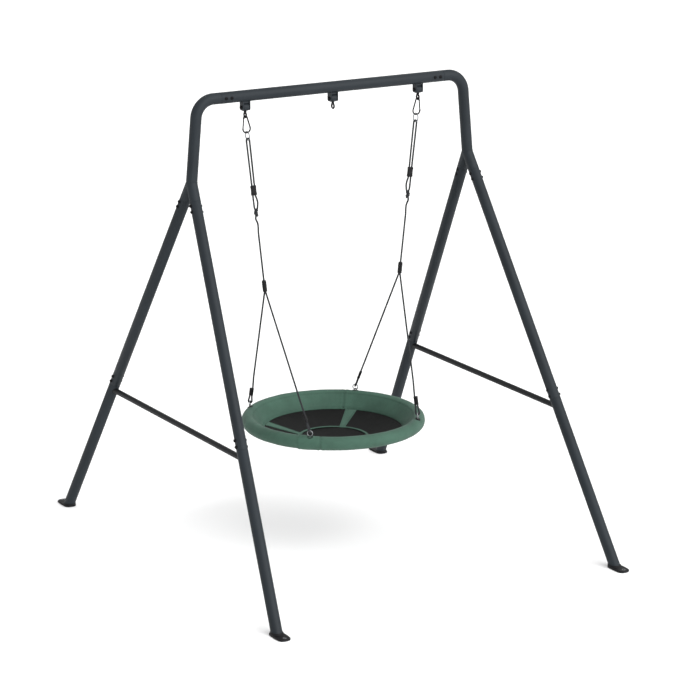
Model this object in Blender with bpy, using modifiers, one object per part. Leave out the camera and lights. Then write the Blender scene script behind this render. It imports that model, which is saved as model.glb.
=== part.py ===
"""Nest swing on a steel A-frame stand: a flexible round seat on two rope bridles under a round top beam.

Metres, +Z up. The beam lies along X, the swing swings along Y, and the origin is on the ground under
the beam's middle.
"""

import math

import bmesh
import bpy
from mathutils import Matrix, Vector

# Stand
BEAM_Z = 2.117
TUBE_R = 0.0255
TUBE_WALL = 0.0018
SPLAY = 0.0885            # how far the A-frames lean out, per metre down
CORNER_X = 0.6846         # where the beam's and the post's centrelines cross
BEND_R = 0.085
FORK_Z = 1.7524
FOOT_Y = 1.0391
BEAM_END = 0.575
LEG_START = 0.093         # distances along a leg from the fork's crossing point
FORK_BOLTS = (0.108, 0.136)
LEG_SPLIT = 1.226
LEG_BOLTS = (1.180, 1.210)
BAR_Z = 0.666
BAR_R = 0.013
BAR_WALL = 0.0015
SPIGOT_LONG = 0.075
BOLT_R = 0.004
TUBE_SIDES = 16
GAP = 0.0003

# Feet
FOOT_LONG, FOOT_WIDE, FOOT_THICK = 0.120, 0.062, 0.010
FOOT_SHIFT = 0.022
TUBE_END_Z = 0.004        # the legs' tubes stand in the shoes, cut level
LIP_HIGH = 0.016
ANCHOR_Y = 0.054          # from the foot plate's middle to its peg hole

# Hangers
HANGER_X = 0.4468
PIN_Z = 2.066
PIN_R = 0.005
BRACKET = (0.037, 0.034)  # along X and Y
BRACKET_LOW = 2.048
SLOT_X = 0.0146
HUB_R = 0.0165
EYE_WIRE = 0.0036
EYE_R = 0.0119
EYE_Z = 2.031

# Rope bridles: hook, ring, doubled rope, adjuster, knot, junction sleeve, V, lower sleeves
ROPE_R = 0.004
HANG_Z = 2.0262           # the hook's wire where it hangs in the eye
HOOK_WIRE = 0.0032
HOOK_TOP_R, HOOK_LOW_R = 0.0085, 0.0183
HOOK_LONG = 0.0766
RING_WIRE, RING_R = 0.0025, 0.0198
ADJUSTER_AT = (0.320, 0.365)
ADJUSTER = (0.027, 0.015)
STRAND_X = 0.0066
KNOT_AT = 0.446
JUNCTION = (0.764, 0.816)
JUNCTION_R = 0.0105
V_HALF = 0.0046
SLEEVE_LONG, SLEEVE_WIDE, SLEEVE_DEEP = 0.040, 0.0205, 0.0122
LOOP_LONG = 0.046

# Seat
ATTACH = 0.2835           # the seat rings are at (+-ATTACH, +-ATTACH)
SEAT_RING_Z = 0.6115
SEAT_RING_WIRE, SEAT_RING_R = 0.00225, 0.01225
RIM_RADIUS = 0.3926
RIM_Z = 0.565
RIM_R = 0.0315
SKIN = 0.001
FOAM_R = 0.0285
HOOP_R = 0.014
HOOP_WALL = 0.0015
BASE_RADIUS = 0.320
BASE_EDGE_Z = 0.521
BASE_RING = 0.160
BASE_RING_Z = 0.483
BASE_MIDDLE_Z = 0.4725
BASE_THICK = 0.0016
STRAP_THICK = 0.0014
SEAT_STEPS = 36

SIDES = {"left": -1, "right": 1}
ENDS = {"front": -1, "rear": 1}

parts = None
cutters = None
materials = {}


def start():
    """An empty scene with one collection for the object and one for its cutters."""
    global parts, cutters
    for old in list(bpy.data.objects):
        bpy.data.objects.remove(old, do_unlink=True)
    parts = bpy.data.collections.new("nest_swing")
    cutters = bpy.data.collections.new("cutters")
    for each in (parts, cutters):
        bpy.context.scene.collection.children.link(each)


def material(name, colour, roughness, metallic=0.0):
    made = bpy.data.materials.new(name)
    made.use_nodes = True
    shader = made.node_tree.nodes["Principled BSDF"]
    shader.inputs["Base Color"].default_value = (*colour, 1)
    shader.inputs["Roughness"].default_value = roughness
    shader.inputs["Metallic"].default_value = metallic
    materials[name] = made


def make_materials():
    material("frame_coat", (0.060, 0.078, 0.093), 0.45, 0.3)
    material("bar_coat", (0.012, 0.013, 0.015), 0.5, 0.2)
    material("black_plastic", (0.010, 0.010, 0.011), 0.5)
    material("black_steel", (0.015, 0.015, 0.016), 0.35, 0.6)
    material("zinc_steel", (0.50, 0.51, 0.52), 0.3, 1.0)
    material("rope", (0.035, 0.038, 0.042), 0.9)
    material("green_fabric", (0.072, 0.190, 0.135), 0.85)
    material("base_fabric", (0.010, 0.010, 0.011), 0.9)
    material("foam", (0.10, 0.10, 0.10), 0.95)


def keep(thing, coat):
    """Puts a finished object among the parts."""
    for where in list(thing.users_collection):
        where.objects.unlink(thing)
    parts.objects.link(thing)
    thing.data.materials.clear()
    thing.data.materials.append(materials[coat])
    return thing


def helper(thing):
    """Puts an object that only cuts or joins another among the cutters."""
    for where in list(thing.users_collection):
        where.objects.unlink(thing)
    cutters.objects.link(thing)
    thing.hide_render = True
    thing.display_type = "WIRE"
    return thing


def boolean(target, other, operation):
    step = target.modifiers.new(operation.lower(), "BOOLEAN")
    step.operation = operation
    step.solver = "EXACT"
    step.object = helper(other)
    return target


def cut(target, other):
    return boolean(target, other, "DIFFERENCE")


def join(target, other):
    return boolean(target, other, "UNION")


def mesh_object(name, shape):
    """An object from a bmesh, which is freed."""
    bmesh.ops.recalc_face_normals(shape, faces=shape.faces)
    mesh = bpy.data.meshes.new(name)
    shape.to_mesh(mesh)
    shape.free()
    made = bpy.data.objects.new(name, mesh)
    bpy.context.scene.collection.objects.link(made)
    return made


def smooth(thing):
    thing.data.shade_smooth()
    thing.data.set_sharp_from_angle(angle=math.radians(35))
    return thing


def along(start_point, direction, across=(0, 0, 1)):
    """A matrix at start_point with +Z along direction and +X as near to across as it can be."""
    z = Vector(direction).normalized()
    x = Vector(across) - Vector(across).dot(z) * z
    if x.length < 1e-6:
        x = Vector((1, 0, 0)) - z.x * z
    x.normalize()
    turn = Matrix((x, z.cross(x), z)).transposed()
    return Matrix.Translation(start_point) @ turn.to_4x4()


def box(name, size, centre=(0, 0, 0)):
    shape = bmesh.new()
    bmesh.ops.create_cube(shape, size=1)
    bmesh.ops.scale(shape, vec=size, verts=shape.verts)
    bmesh.ops.translate(shape, vec=centre, verts=shape.verts)
    return mesh_object(name, shape)


def rod(name, start_point, end_point, radius, sides=12, across=(0, 0, 1), end_radius=None):
    """A solid round bar, or a cone where end_radius differs."""
    a, b = Vector(start_point), Vector(end_point)
    shape = bmesh.new()
    bmesh.ops.create_cone(
        shape, cap_ends=True, segments=sides, radius1=radius,
        radius2=radius if end_radius is None else end_radius, depth=(b - a).length,
    )
    bmesh.ops.translate(shape, vec=(0, 0, (b - a).length / 2), verts=shape.verts)
    made = mesh_object(name, shape)
    made.matrix_world = along(a, b - a, across)
    return smooth(made)


def torus(name, centre, normal, radius, wire, steps=20, sides=8):
    """A closed ring of round wire."""
    shape = bmesh.new()
    bmesh.ops.create_circle(shape, segments=sides, radius=wire)
    bmesh.ops.rotate(shape, matrix=Matrix.Rotation(math.pi / 2, 3, "X"), verts=shape.verts)
    bmesh.ops.translate(shape, vec=(radius, 0, 0), verts=shape.verts)
    bmesh.ops.spin(
        shape, geom=shape.verts[:] + shape.edges[:], cent=(0, 0, 0), axis=(0, 0, 1),
        angle=2 * math.pi, steps=steps, use_merge=True,
    )
    made = mesh_object(name, shape)
    made.matrix_world = along(centre, normal)
    return smooth(made)


def turned(name, profile, steps, closed=True):
    """A profile of (radius, height) points turned about Z. It runs down its outer side."""
    mesh = bpy.data.meshes.new(name)
    count = len(profile)
    edges = [(i, i + 1) for i in range(count - 1)]
    if closed:
        edges.append((count - 1, 0))
    mesh.from_pydata([(r, 0, z) for r, z in profile], edges, [])
    made = bpy.data.objects.new(name, mesh)
    bpy.context.scene.collection.objects.link(made)
    screw = made.modifiers.new("turn", "SCREW")
    screw.steps = screw.render_steps = steps
    screw.use_merge_vertices = True
    screw.merge_threshold = 0.00001
    return made


def pipe(name, start_point, end_point, radius, wall, across=(0, 0, 1), spigot=None):
    """A round tube. With a spigot, it goes on past its start as a narrower end that fits inside a tube."""
    long = (Vector(end_point) - Vector(start_point)).length
    inner = radius - wall
    profile = [(radius, long), (radius, 0.0)]
    if spigot:
        narrow = inner - 0.0009
        bore = narrow - wall
        profile += [(narrow, -0.0004), (narrow, -spigot), (bore, -spigot), (bore, 0.012), (inner, 0.016)]
    else:
        profile += [(inner, 0.0)]
    profile += [(inner, long)]
    made = turned(name, profile, TUBE_SIDES)
    made.matrix_world = along(start_point, Vector(end_point) - Vector(start_point), across)
    return made


def wire(name, points, radius, sides_step=2):
    """A round wire or rope along points, closed at both ends."""
    curve = bpy.data.curves.new(name, "CURVE")
    curve.dimensions = "3D"
    curve.bevel_depth = radius
    curve.bevel_resolution = sides_step
    curve.use_fill_caps = True
    line = curve.splines.new("POLY")
    line.points.add(len(points) - 1)
    for i, point in enumerate(points):
        line.points[i].co = (*point, 1)
    made = bpy.data.objects.new(name, curve)
    bpy.context.scene.collection.objects.link(made)
    return made


def as_mesh(thing):
    """A curve object made a mesh object of the same name, its caps welded."""
    name = thing.name
    bpy.context.view_layer.update()
    mesh = bpy.data.meshes.new_from_object(thing.evaluated_get(bpy.context.evaluated_depsgraph_get()))
    shape = bmesh.new()
    shape.from_mesh(mesh)
    bmesh.ops.remove_doubles(shape, verts=shape.verts, dist=0.00001)
    place = thing.matrix_world.copy()
    bpy.data.objects.remove(thing, do_unlink=True)
    bpy.data.meshes.remove(mesh)
    made = mesh_object(name, shape)
    made.matrix_world = place
    return smooth(made)


def arc(centre, first, second, radius, start_deg, end_deg, count):
    """Points on an arc in the plane of the unit vectors first and second."""
    angles = [math.radians(start_deg + (end_deg - start_deg) * i / count) for i in range(count + 1)]
    return [Vector(centre) + radius * (math.cos(a) * Vector(first) + math.sin(a) * Vector(second)) for a in angles]


def smooth_route(points, per_span):
    """A Catmull-Rom curve through points, per_span points to each span."""
    points = [Vector(p) for p in points]
    padded = [2 * points[0] - points[1], *points, 2 * points[-1] - points[-2]]
    route = []
    for i in range(1, len(padded) - 2):
        a, b, c, d = padded[i - 1:i + 3]
        for k in range(per_span):
            t = k / per_span
            route.append(0.5 * (2 * b + (c - a) * t + (2 * a - 5 * b + 4 * c - d) * t**2
                                + (3 * b - a - 3 * c + d) * t**3))
    return route + [points[-1]]


# ---------------------------------------------------------------- stand

def plane_x(side, z):
    """How far out an A-frame's plane is at a height."""
    return SIDES[side] * (CORNER_X + SPLAY * (BEAM_Z - z))


def fork_point(side):
    return Vector((plane_x(side, FORK_Z), 0, FORK_Z))


def leg_direction(side, end):
    foot = Vector((plane_x(side, 0), ENDS[end] * FOOT_Y, 0))
    return (foot - fork_point(side)).normalized()


def leg_point(side, end, distance):
    return fork_point(side) + distance * leg_direction(side, end)


def frame_normal(side):
    """The unit vector out of an A-frame's plane, away from the swing."""
    return Vector((SIDES[side], 0, SPLAY)).normalized()


def leg_length(side, end):
    return fork_point(side).z / -leg_direction(side, end).z


def bolt_holes(target, places, direction):
    """Clear holes for bolts through both walls of a tube."""
    for i, place in enumerate(places):
        reach = 1.6 * TUBE_R * Vector(direction)
        cut(target, rod(f"{target.name}_hole_{i}", place - reach, place + reach, BOLT_R + 0.0005, 6,
                        (0.11, 0.07, 1)))


def beam_bolt_places(side):
    return [Vector((SIDES[side] * x, 0, BEAM_Z)) for x in (0.525, 0.553)]


def make_beam():
    beam = pipe("top_beam", (-BEAM_END, 0, BEAM_Z), (BEAM_END, 0, BEAM_Z), TUBE_R, TUBE_WALL)
    for side in SIDES:
        bolt_holes(beam, beam_bolt_places(side), (0, 1, 0))
    keep(beam, "frame_coat")


def corner_route(side, extra=0.0):
    """The bent tube's centreline, from the beam's end round the bend to the fork."""
    s = SIDES[side]
    down = Vector((s * SPLAY, 0, -1)).normalized()
    turn = math.degrees(math.acos(down.x * s))
    tangent = BEND_R * math.tan(math.radians(turn) / 2)
    first = Vector((s * (BEAM_END + GAP - extra), 0, BEAM_Z))
    centre = Vector((s * (CORNER_X - tangent), 0, BEAM_Z - BEND_R))
    bend = arc(centre, (s, 0, 0), (0, 0, 1), BEND_R, 90, 90 - turn, 6)
    return [first, *bend, fork_point(side) + 0.003 * down]


def make_corner(side):
    """The bent corner with its swaged end in the beam and a welded fork for the two legs."""
    inner = TUBE_R - TUBE_WALL
    narrow = inner - 0.0009
    corner = as_mesh(wire(f"corner_{side}", corner_route(side), TUBE_R, 6))
    end = Vector((SIDES[side] * (BEAM_END + 0.004), 0, BEAM_Z))
    inward = Vector((-SIDES[side], 0, 0))
    solids = [rod(f"corner_{side}_neck", end, end + (SPIGOT_LONG + 0.004) * inward, narrow, TUBE_SIDES)]
    hollows = [as_mesh(wire(f"corner_{side}_bore", corner_route(side, SPIGOT_LONG + 0.01), narrow - TUBE_WALL, 6))]
    for i, end_name in enumerate(ENDS):
        # the facets of the joined tubes are turned a little, so that none lie in one plane
        facing = frame_normal(side) + Vector((0, 0.11 + 0.07 * i, 0))
        point = [leg_point(side, end_name, d) for d in (-0.004 - 0.002 * i, LEG_START - GAP, LEG_START - 0.004,
                                                        LEG_START + SPIGOT_LONG, LEG_START + SPIGOT_LONG + 0.01)]
        solids.append(rod(f"corner_{side}_{end_name}_stub", point[0], point[1], TUBE_R, TUBE_SIDES, facing))
        solids.append(rod(f"corner_{side}_{end_name}_neck", point[2], point[3], narrow, TUBE_SIDES, facing))
        hollows.append(rod(f"corner_{side}_{end_name}_bore", point[0], point[4], narrow - TUBE_WALL, TUBE_SIDES, facing))
    for solid in solids:
        join(corner, solid)
    for hollow in hollows:
        cut(corner, hollow)
    for end_name in ENDS:
        bolt_holes(corner, [leg_point(side, end_name, d) for d in FORK_BOLTS], frame_normal(side))
    bolt_holes(corner, beam_bolt_places(side), (0, 1, 0))
    keep(corner, "frame_coat")


def make_leg(side, end):
    normal = frame_normal(side)
    name = f"{side}_{end}"
    upper = pipe(f"upper_leg_{name}", leg_point(side, end, LEG_START), leg_point(side, end, LEG_SPLIT - GAP),
                 TUBE_R, TUBE_WALL, normal)
    bolt_holes(upper, [leg_point(side, end, d) for d in (*FORK_BOLTS, *LEG_BOLTS)], normal)
    keep(upper, "frame_coat")

    low = leg_point(side, end, leg_length(side, end) + 0.020)
    lower = pipe(f"lower_leg_{name}", leg_point(side, end, LEG_SPLIT), low, TUBE_R, TUBE_WALL, normal, SPIGOT_LONG)
    cut(lower, ground_block(f"lower_leg_{name}_trim", side, end, TUBE_END_Z))
    at_bar = leg_point(side, end, (FORK_Z - BAR_Z) / -leg_direction(side, end).z)
    inward = Vector((0, -ENDS[end], 0))
    join(lower, rod(f"lower_leg_{name}_stub", at_bar + 0.0265 * inward, at_bar + 0.085 * inward,
                    BAR_R - BAR_WALL - 0.0008, 12))
    bolt_holes(lower, [leg_point(side, end, d) for d in LEG_BOLTS], normal)
    keep(lower, "frame_coat")


def make_cross_bar(side):
    """A thin tube that plugs onto the legs' stubs, its ends shaped to the legs."""
    reach = FOOT_Y * (FORK_Z - BAR_Z) / FORK_Z
    x = plane_x(side, BAR_Z)
    profile_inner = BAR_R - BAR_WALL
    bar = turned(f"cross_bar_{side}", [(BAR_R, 2 * reach), (BAR_R, 0), (profile_inner, 0), (profile_inner, 2 * reach)],
                 12)
    bar.matrix_world = along((x, -reach, BAR_Z), (0, 1, 0))
    for end in ENDS:
        near, far = leg_point(side, end, 1.15), leg_point(side, end, 1.40)
        cut(bar, rod(f"cross_bar_{side}_{end}_cut", near, far, TUBE_R + 0.0006, 24, frame_normal(side)))
    keep(bar, "bar_coat")


def make_bolt_pair(name, places, direction):
    """Two bolts through a tube joint, with domed heads, nuts and the strip inside that holds them together."""
    direction = Vector(direction)
    skin = TUBE_R + GAP
    first = None
    for i, place in enumerate(places):
        shank = rod(name if i == 0 else f"{name}_{i}", place - (skin + 0.006) * direction,
                    place + (skin + 0.001) * direction, BOLT_R, 6)
        head = rod(f"{name}_head_{i}", place + skin * direction, place + (skin + 0.0045) * direction,
                   0.0085, 8, end_radius=0.005)
        nut = rod(f"{name}_nut_{i}", place - (skin + 0.0055) * direction, place - skin * direction, 0.0072, 6)
        first = first or shank
        for piece in (shank, head, nut):
            if piece is not first:
                join(first, piece)
    step = places[1] - places[0]
    strip = box(f"{name}_strip", (0.010, 0.003, step.length), (0, 0, step.length / 2))
    strip.matrix_world = along(places[0], step, direction.cross(step))
    join(first, strip)
    keep(first, "black_steel")


def ground_block(name, side, end, top):
    """A block under a leg's end, up to a height."""
    return box(name, (0.2, 0.3, 0.1), (plane_x(side, 0), ENDS[end] * FOOT_Y, top - 0.05))


def make_foot(side, end):
    """A shoe on the leg's end: a rounded plate that reaches outwards, a low lip round the tube and a peg hole."""
    t = ENDS[end]
    x = plane_x(side, 0)
    foot = box(f"foot_{side}_{end}", (FOOT_WIDE, FOOT_LONG, FOOT_THICK), (0, 0, FOOT_THICK / 2))
    foot.location = (x, t * (FOOT_Y + FOOT_SHIFT), 0)
    corners = foot.modifiers.new("round", "BEVEL")
    corners.width = 0.028
    corners.segments = 4
    corners.limit_method = "WEIGHT"
    weights = foot.data.attributes.new("bevel_weight_edge", "FLOAT", "EDGE")
    for edge in foot.data.edges:
        a, b = (foot.data.vertices[v].co for v in edge.vertices)
        weights.data[edge.index].value = 1.0 if abs(a.z - b.z) > 0.005 else 0.0
    bottom = leg_length(side, end)
    below, above = (leg_point(side, end, bottom + d) for d in (0.030, -0.060))
    lip = rod(f"{foot.name}_lip", below, above, TUBE_R + 0.0035, TUBE_SIDES, frame_normal(side))
    cut(lip, ground_block(f"{foot.name}_lip_trim", side, end, 0.0005))
    cut(lip, box(f"{foot.name}_lip_top", (0.2, 0.3, 0.1), (x, t * FOOT_Y, LIP_HIGH + 0.05)))
    join(foot, lip)
    socket = rod(f"{foot.name}_socket", below, above, TUBE_R + 0.0004, TUBE_SIDES, frame_normal(side))
    cut(foot, cut(socket, ground_block(f"{foot.name}_socket_trim", side, end, TUBE_END_Z - 0.0005)))
    peg = Vector((x, t * (FOOT_Y + FOOT_SHIFT + ANCHOR_Y - 0.012), 0))
    cut(foot, rod(f"{foot.name}_peg", peg - Vector((0, 0, 0.01)), peg + Vector((0, 0, 0.03)), 0.005, 12))
    keep(foot, "black_plastic")


# ---------------------------------------------------------------- hangers

def make_hanger(name, x):
    """A saddle bracket under the beam, its pin, and the eye that swings on the pin."""
    wide, deep = BRACKET
    bracket = box(f"bracket_{name}", (wide, deep, 0.054), (x, 0, BRACKET_LOW + 0.027))
    shape = bmesh.new()
    shape.from_mesh(bracket.data)
    low = [e for e in shape.edges if all(v.co.z < BRACKET_LOW + 0.001 for v in e.verts)]
    bmesh.ops.bevel(shape, geom=low, offset=0.008, segments=1, affect="EDGES")
    shape.to_mesh(bracket.data)
    shape.free()
    cut(bracket, rod(f"bracket_{name}_saddle", (x - 0.05, 0, BEAM_Z), (x + 0.05, 0, BEAM_Z), TUBE_R + GAP, 24))
    slot_top = PIN_Z + 0.0185
    cut(bracket, box(f"bracket_{name}_slot", (2 * SLOT_X, 0.06, slot_top - 2.02), (x, 0, (slot_top + 2.02) / 2)))
    cut(bracket, rod(f"bracket_{name}_bore", (x - 0.04, 0, PIN_Z), (x + 0.04, 0, PIN_Z), PIN_R + 0.0003, 12))
    keep(bracket, "frame_coat")

    outer = wide / 2 + GAP
    pin = rod(f"hanger_pin_{name}", (x - outer - 0.005, 0, PIN_Z), (x + outer + 0.002, 0, PIN_Z), PIN_R, 12)
    join(pin, rod(f"{pin.name}_head", (x + outer, 0, PIN_Z), (x + outer + 0.004, 0, PIN_Z), 0.0085, 10))
    join(pin, rod(f"{pin.name}_nut", (x - outer - 0.006, 0, PIN_Z), (x - outer, 0, PIN_Z), 0.0082, 6))
    keep(pin, "black_steel")

    hub = rod(f"eye_{name}", (x - SLOT_X + 0.0006, 0, PIN_Z), (x + SLOT_X - 0.0006, 0, PIN_Z), HUB_R, 16)
    join(hub, rod(f"eye_{name}_shank", (x, 0, PIN_Z - 0.011), (x, 0, EYE_Z + EYE_R - 0.0007), 0.0057, 9))
    join(hub, torus(f"eye_{name}_ring", (x, 0, EYE_Z), (1, 0, 0), EYE_R, EYE_WIRE, 16, 8))
    cut(hub, rod(f"eye_{name}_bore", (x - 0.03, 0, PIN_Z), (x + 0.03, 0, PIN_Z), PIN_R + 0.0005, 10))
    keep(hub, "black_steel")


# ---------------------------------------------------------------- rope bridles

class Line:
    """A bridle's own frame: d runs down the leaning rope line, e across it towards the middle, and y along Y."""

    def __init__(self, side):
        self.s = SIDES[side]
        self.top = Vector((self.s * HANGER_X, 0, HANG_Z))
        low = Vector((self.s * ATTACH, 0, SEAT_RING_Z))
        self.down = (low - self.top).normalized()
        self.across = self.s * Vector((self.down.z, 0, -self.down.x))

    def at(self, d, e=0.0, y=0.0):
        return self.top + d * self.down + e * self.across + Vector((0, y, 0))


def hook_geometry(line):
    """The pear outline of a hook: its two arc centres and the angle of its sides."""
    span = HOOK_LONG - HOOK_TOP_R - HOOK_LOW_R
    taper = math.degrees(math.asin((HOOK_LOW_R - HOOK_TOP_R) / span))
    return line.at(HOOK_TOP_R), line.at(HOOK_TOP_R + span), taper


def gate_ends(line):
    """The gate's pivot and tip, on the outer side of the pear."""
    top, low, taper = hook_geometry(line)
    out = -line.across
    high_end, low_end = (arc(c, out, line.down, r, -taper, -taper, 1)[0]
                         for c, r in ((top, HOOK_TOP_R), (low, HOOK_LOW_R)))
    way = (low_end - high_end).normalized()
    return high_end + 0.004 * way, low_end - 0.001 * way, way


def make_hook(side):
    line = Line(side)
    top, low, taper = hook_geometry(line)
    out = -line.across
    upper = arc(top, out, line.down, HOOK_TOP_R, -taper, -180 + taper, 9)
    lower = arc(low, out, line.down, HOOK_LOW_R, 180 + taper, -taper, 12)
    pivot, tip, way = gate_ends(line)
    route = [pivot - 0.0014 * way - HOOK_WIRE * 0.4 * way, *upper, *lower]
    body = as_mesh(wire(f"hook_{side}", route, HOOK_WIRE, 2))
    nose = lower[-1]
    join(body, rod(f"hook_{side}_nose", nose + 0.0035 * way, nose - 0.0012 * way, HOOK_WIRE + 0.0008, 8))
    keep(body, "black_steel")
    gate = rod(f"gate_{side}", pivot - 0.0004 * way, tip - 0.0012 * way, HOOK_WIRE - 0.0004, 8)
    keep(gate, "black_steel")


def rope_joint_d():
    """How far down the line the upper rope ends, inside the junction sleeve."""
    return JUNCTION[0] + 0.022


def upper_rope_route(line):
    """From the knot's tail, up through the adjuster, round the ring and down to the junction sleeve."""
    ring_low = HOOK_LONG - HOOK_WIRE - GAP + 2 * (RING_R - RING_WIRE)
    apex = ring_low - 0.0013 - ROPE_R
    turn = 0.0078
    top = ADJUSTER_AT[0] - 0.006
    low = ADJUSTER_AT[1] + 0.006
    tail = smooth_route([line.at(KNOT_AT - 0.012, 0.0065), line.at(0.420, 0.0105), line.at(0.400, 0.0135),
                         line.at(0.382, 0.0105), line.at(low, STRAND_X)], 3)
    back = [p for p in arc(line.at(apex + turn), line.across, -line.down, turn, 0, 180, 8)]
    main = smooth_route([line.at(low, -STRAND_X), line.at(0.395, -0.0055), line.at(KNOT_AT - 0.020, -0.0015),
                         line.at(KNOT_AT + 0.030, 0.0), line.at(0.52, 0.0)], 3)
    return [*tail, line.at(top, STRAND_X), line.at(0.20, 0.0074), *back, line.at(0.20, -0.0074),
            line.at(top, -STRAND_X), *main, line.at(rope_joint_d())]


def make_upper_bridle(side):
    line = Line(side)
    ring_at = HOOK_LONG - HOOK_WIRE - GAP + RING_R - RING_WIRE
    keep(torus(f"top_ring_{side}", line.at(ring_at), line.across, RING_R, RING_WIRE, 18, 6), "zinc_steel")

    rope = as_mesh(wire(f"upper_rope_{side}", upper_rope_route(line), ROPE_R, 2))
    shape = bmesh.new()
    bmesh.ops.create_uvsphere(shape, u_segments=10, v_segments=7, radius=1)
    bmesh.ops.scale(shape, vec=(0.0105, 0.0085, 0.020), verts=shape.verts)
    knot = mesh_object(f"upper_rope_{side}_knot", shape)
    knot.matrix_world = along(line.at(KNOT_AT, 0.0015), line.down, line.across)
    join(rope, knot)
    keep(rope, "rope")

    wide, deep = ADJUSTER
    long = ADJUSTER_AT[1] - ADJUSTER_AT[0]
    block = box(f"adjuster_{side}", (wide, deep, long), (0, 0, long / 2))
    edges = block.modifiers.new("round", "BEVEL")
    edges.width = 0.003
    edges.segments = 2
    block.matrix_world = along(line.at(ADJUSTER_AT[0]), line.down, line.across)
    for i, e in enumerate((-STRAND_X, STRAND_X)):
        cut(block, rod(f"adjuster_{side}_hole_{i}", line.at(ADJUSTER_AT[0] - 0.005, e), line.at(ADJUSTER_AT[1] + 0.005, e),
                       ROPE_R + 0.0004, 12))
    keep(block, "black_plastic")


def seat_ring_centre(side, end):
    return Vector((SIDES[side] * ATTACH, ENDS[end] * ATTACH, SEAT_RING_Z))


def radial(side, end):
    return Vector((SIDES[side], ENDS[end], 0)).normalized()


class LowerEnd:
    """The loop and sleeve at one end of a V: up runs along the rope, and out lies across the loop."""

    def __init__(self, side, end):
        line = Line(side)
        self.exit = line.at(JUNCTION[1], 0, ENDS[end] * V_HALF)
        ring = seat_ring_centre(side, end)
        # the rope lies inside the ring, just under its top wire
        self.turn = 0.0084
        hold = ring + Vector((0, 0, SEAT_RING_R - SEAT_RING_WIRE - ROPE_R - 0.0018))
        self.up = (self.exit - hold).normalized()
        outward = radial(side, end)
        self.out = (outward - outward.dot(self.up) * self.up).normalized()
        self.low = hold

    def at(self, u, o=0.0):
        return self.low + u * self.up + o * self.out


def v_leg(side, end):
    """One end of the V rope: its tail in the sleeve, the loop through the seat ring, and up to the junction."""
    near = LowerEnd(side, end)
    half = 0.0044
    sleeve_low = LOOP_LONG
    tail = [near.at(sleeve_low + 0.030, half), near.at(sleeve_low, half), near.at(sleeve_low - 0.012, 0.0056)]
    loop = arc(near.at(near.turn), near.out, -near.up, near.turn, 0, 180, 8)
    back = [near.at(sleeve_low - 0.012, -0.0056), near.at(sleeve_low, -half),
            near.at(sleeve_low + SLEEVE_LONG + 0.004, -half)]
    away = near.at(0.16, -0.0015)
    return [*tail, *loop, *back, away]


def make_lower_bridle(side):
    line = Line(side)
    deep = JUNCTION[1]
    sleeve_top = JUNCTION[0]
    wide = V_HALF + ROPE_R + 0.0006
    length = deep - sleeve_top
    rope_hole = ROPE_R + 0.0004
    mid = rope_joint_d() - sleeve_top - 0.002
    # heights run up the sleeve from its lower end
    profile = [(JUNCTION_R - 0.002, length), (JUNCTION_R, length - 0.006), (JUNCTION_R, 0.004),
               (JUNCTION_R - 0.0006, 0.0), (wide, 0.0), (wide, length - mid - 0.004), (rope_hole, length - mid),
               (rope_hole, length)]
    sleeve = turned(f"junction_{side}", profile, 14)
    sleeve.matrix_world = along(line.at(deep), -line.down, line.across)
    keep(sleeve, "black_plastic")

    apex = rope_joint_d() + 0.0006 + ROPE_R
    fold = arc(line.at(apex + V_HALF), (0, -1, 0), -line.down, V_HALF, 0, 180, 6)
    front, rear = (v_leg(side, end) for end in ENDS)
    near, far = (line.at(deep + 0.001, 0, ENDS[end] * V_HALF) for end in ENDS)
    keep(wire(f"lower_rope_{side}", [*front, near, *fold, far, *reversed(rear)], ROPE_R, 2), "rope")

    for end in ENDS:
        place = LowerEnd(side, end)
        made = stadium_tube(f"lower_sleeve_{side}_{end}", SLEEVE_LONG, (SLEEVE_WIDE, SLEEVE_DEEP), (0.0176, 0.0088))
        made.matrix_world = along(place.at(LOOP_LONG), place.up, place.out)
        keep(made, "black_plastic")
        keep(torus(f"seat_ring_{side}_{end}", seat_ring_centre(side, end), radial(side, end), SEAT_RING_R,
                   SEAT_RING_WIRE, 16, 6), "zinc_steel")


def stadium_outline(wide, deep, count=6):
    """A long round-ended outline in XY."""
    r = deep / 2
    right = [(wide / 2 - r + r * math.cos(a), r * math.sin(a))
             for a in (math.radians(-90 + 180 * i / count) for i in range(count + 1))]
    return right + [(-x, -y) for x, y in right]


def stadium_tube(name, long, outside, inside):
    """A flat round-ended sleeve, open at both ends, along Z."""
    shape = bmesh.new()
    rings = []
    for size, z in ((outside, 0), (outside, long), (inside, long), (inside, 0)):
        rings.append([shape.verts.new((x, y, z)) for x, y in stadium_outline(*size)])
    count = len(rings[0])
    for a, b in zip(rings, rings[1:] + rings[:1]):
        for i in range(count):
            shape.faces.new((a[i], a[(i + 1) % count], b[(i + 1) % count], b[i]))
    return smooth(mesh_object(name, shape))


# ---------------------------------------------------------------- seat

def ring_arc(radius, start_deg, end_deg, count):
    """Profile points on the rim's round section."""
    angles = [math.radians(start_deg + (end_deg - start_deg) * i / count) for i in range(count + 1)]
    return [(RIM_RADIUS + radius * math.cos(a), RIM_Z + radius * math.sin(a)) for a in angles]


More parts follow.
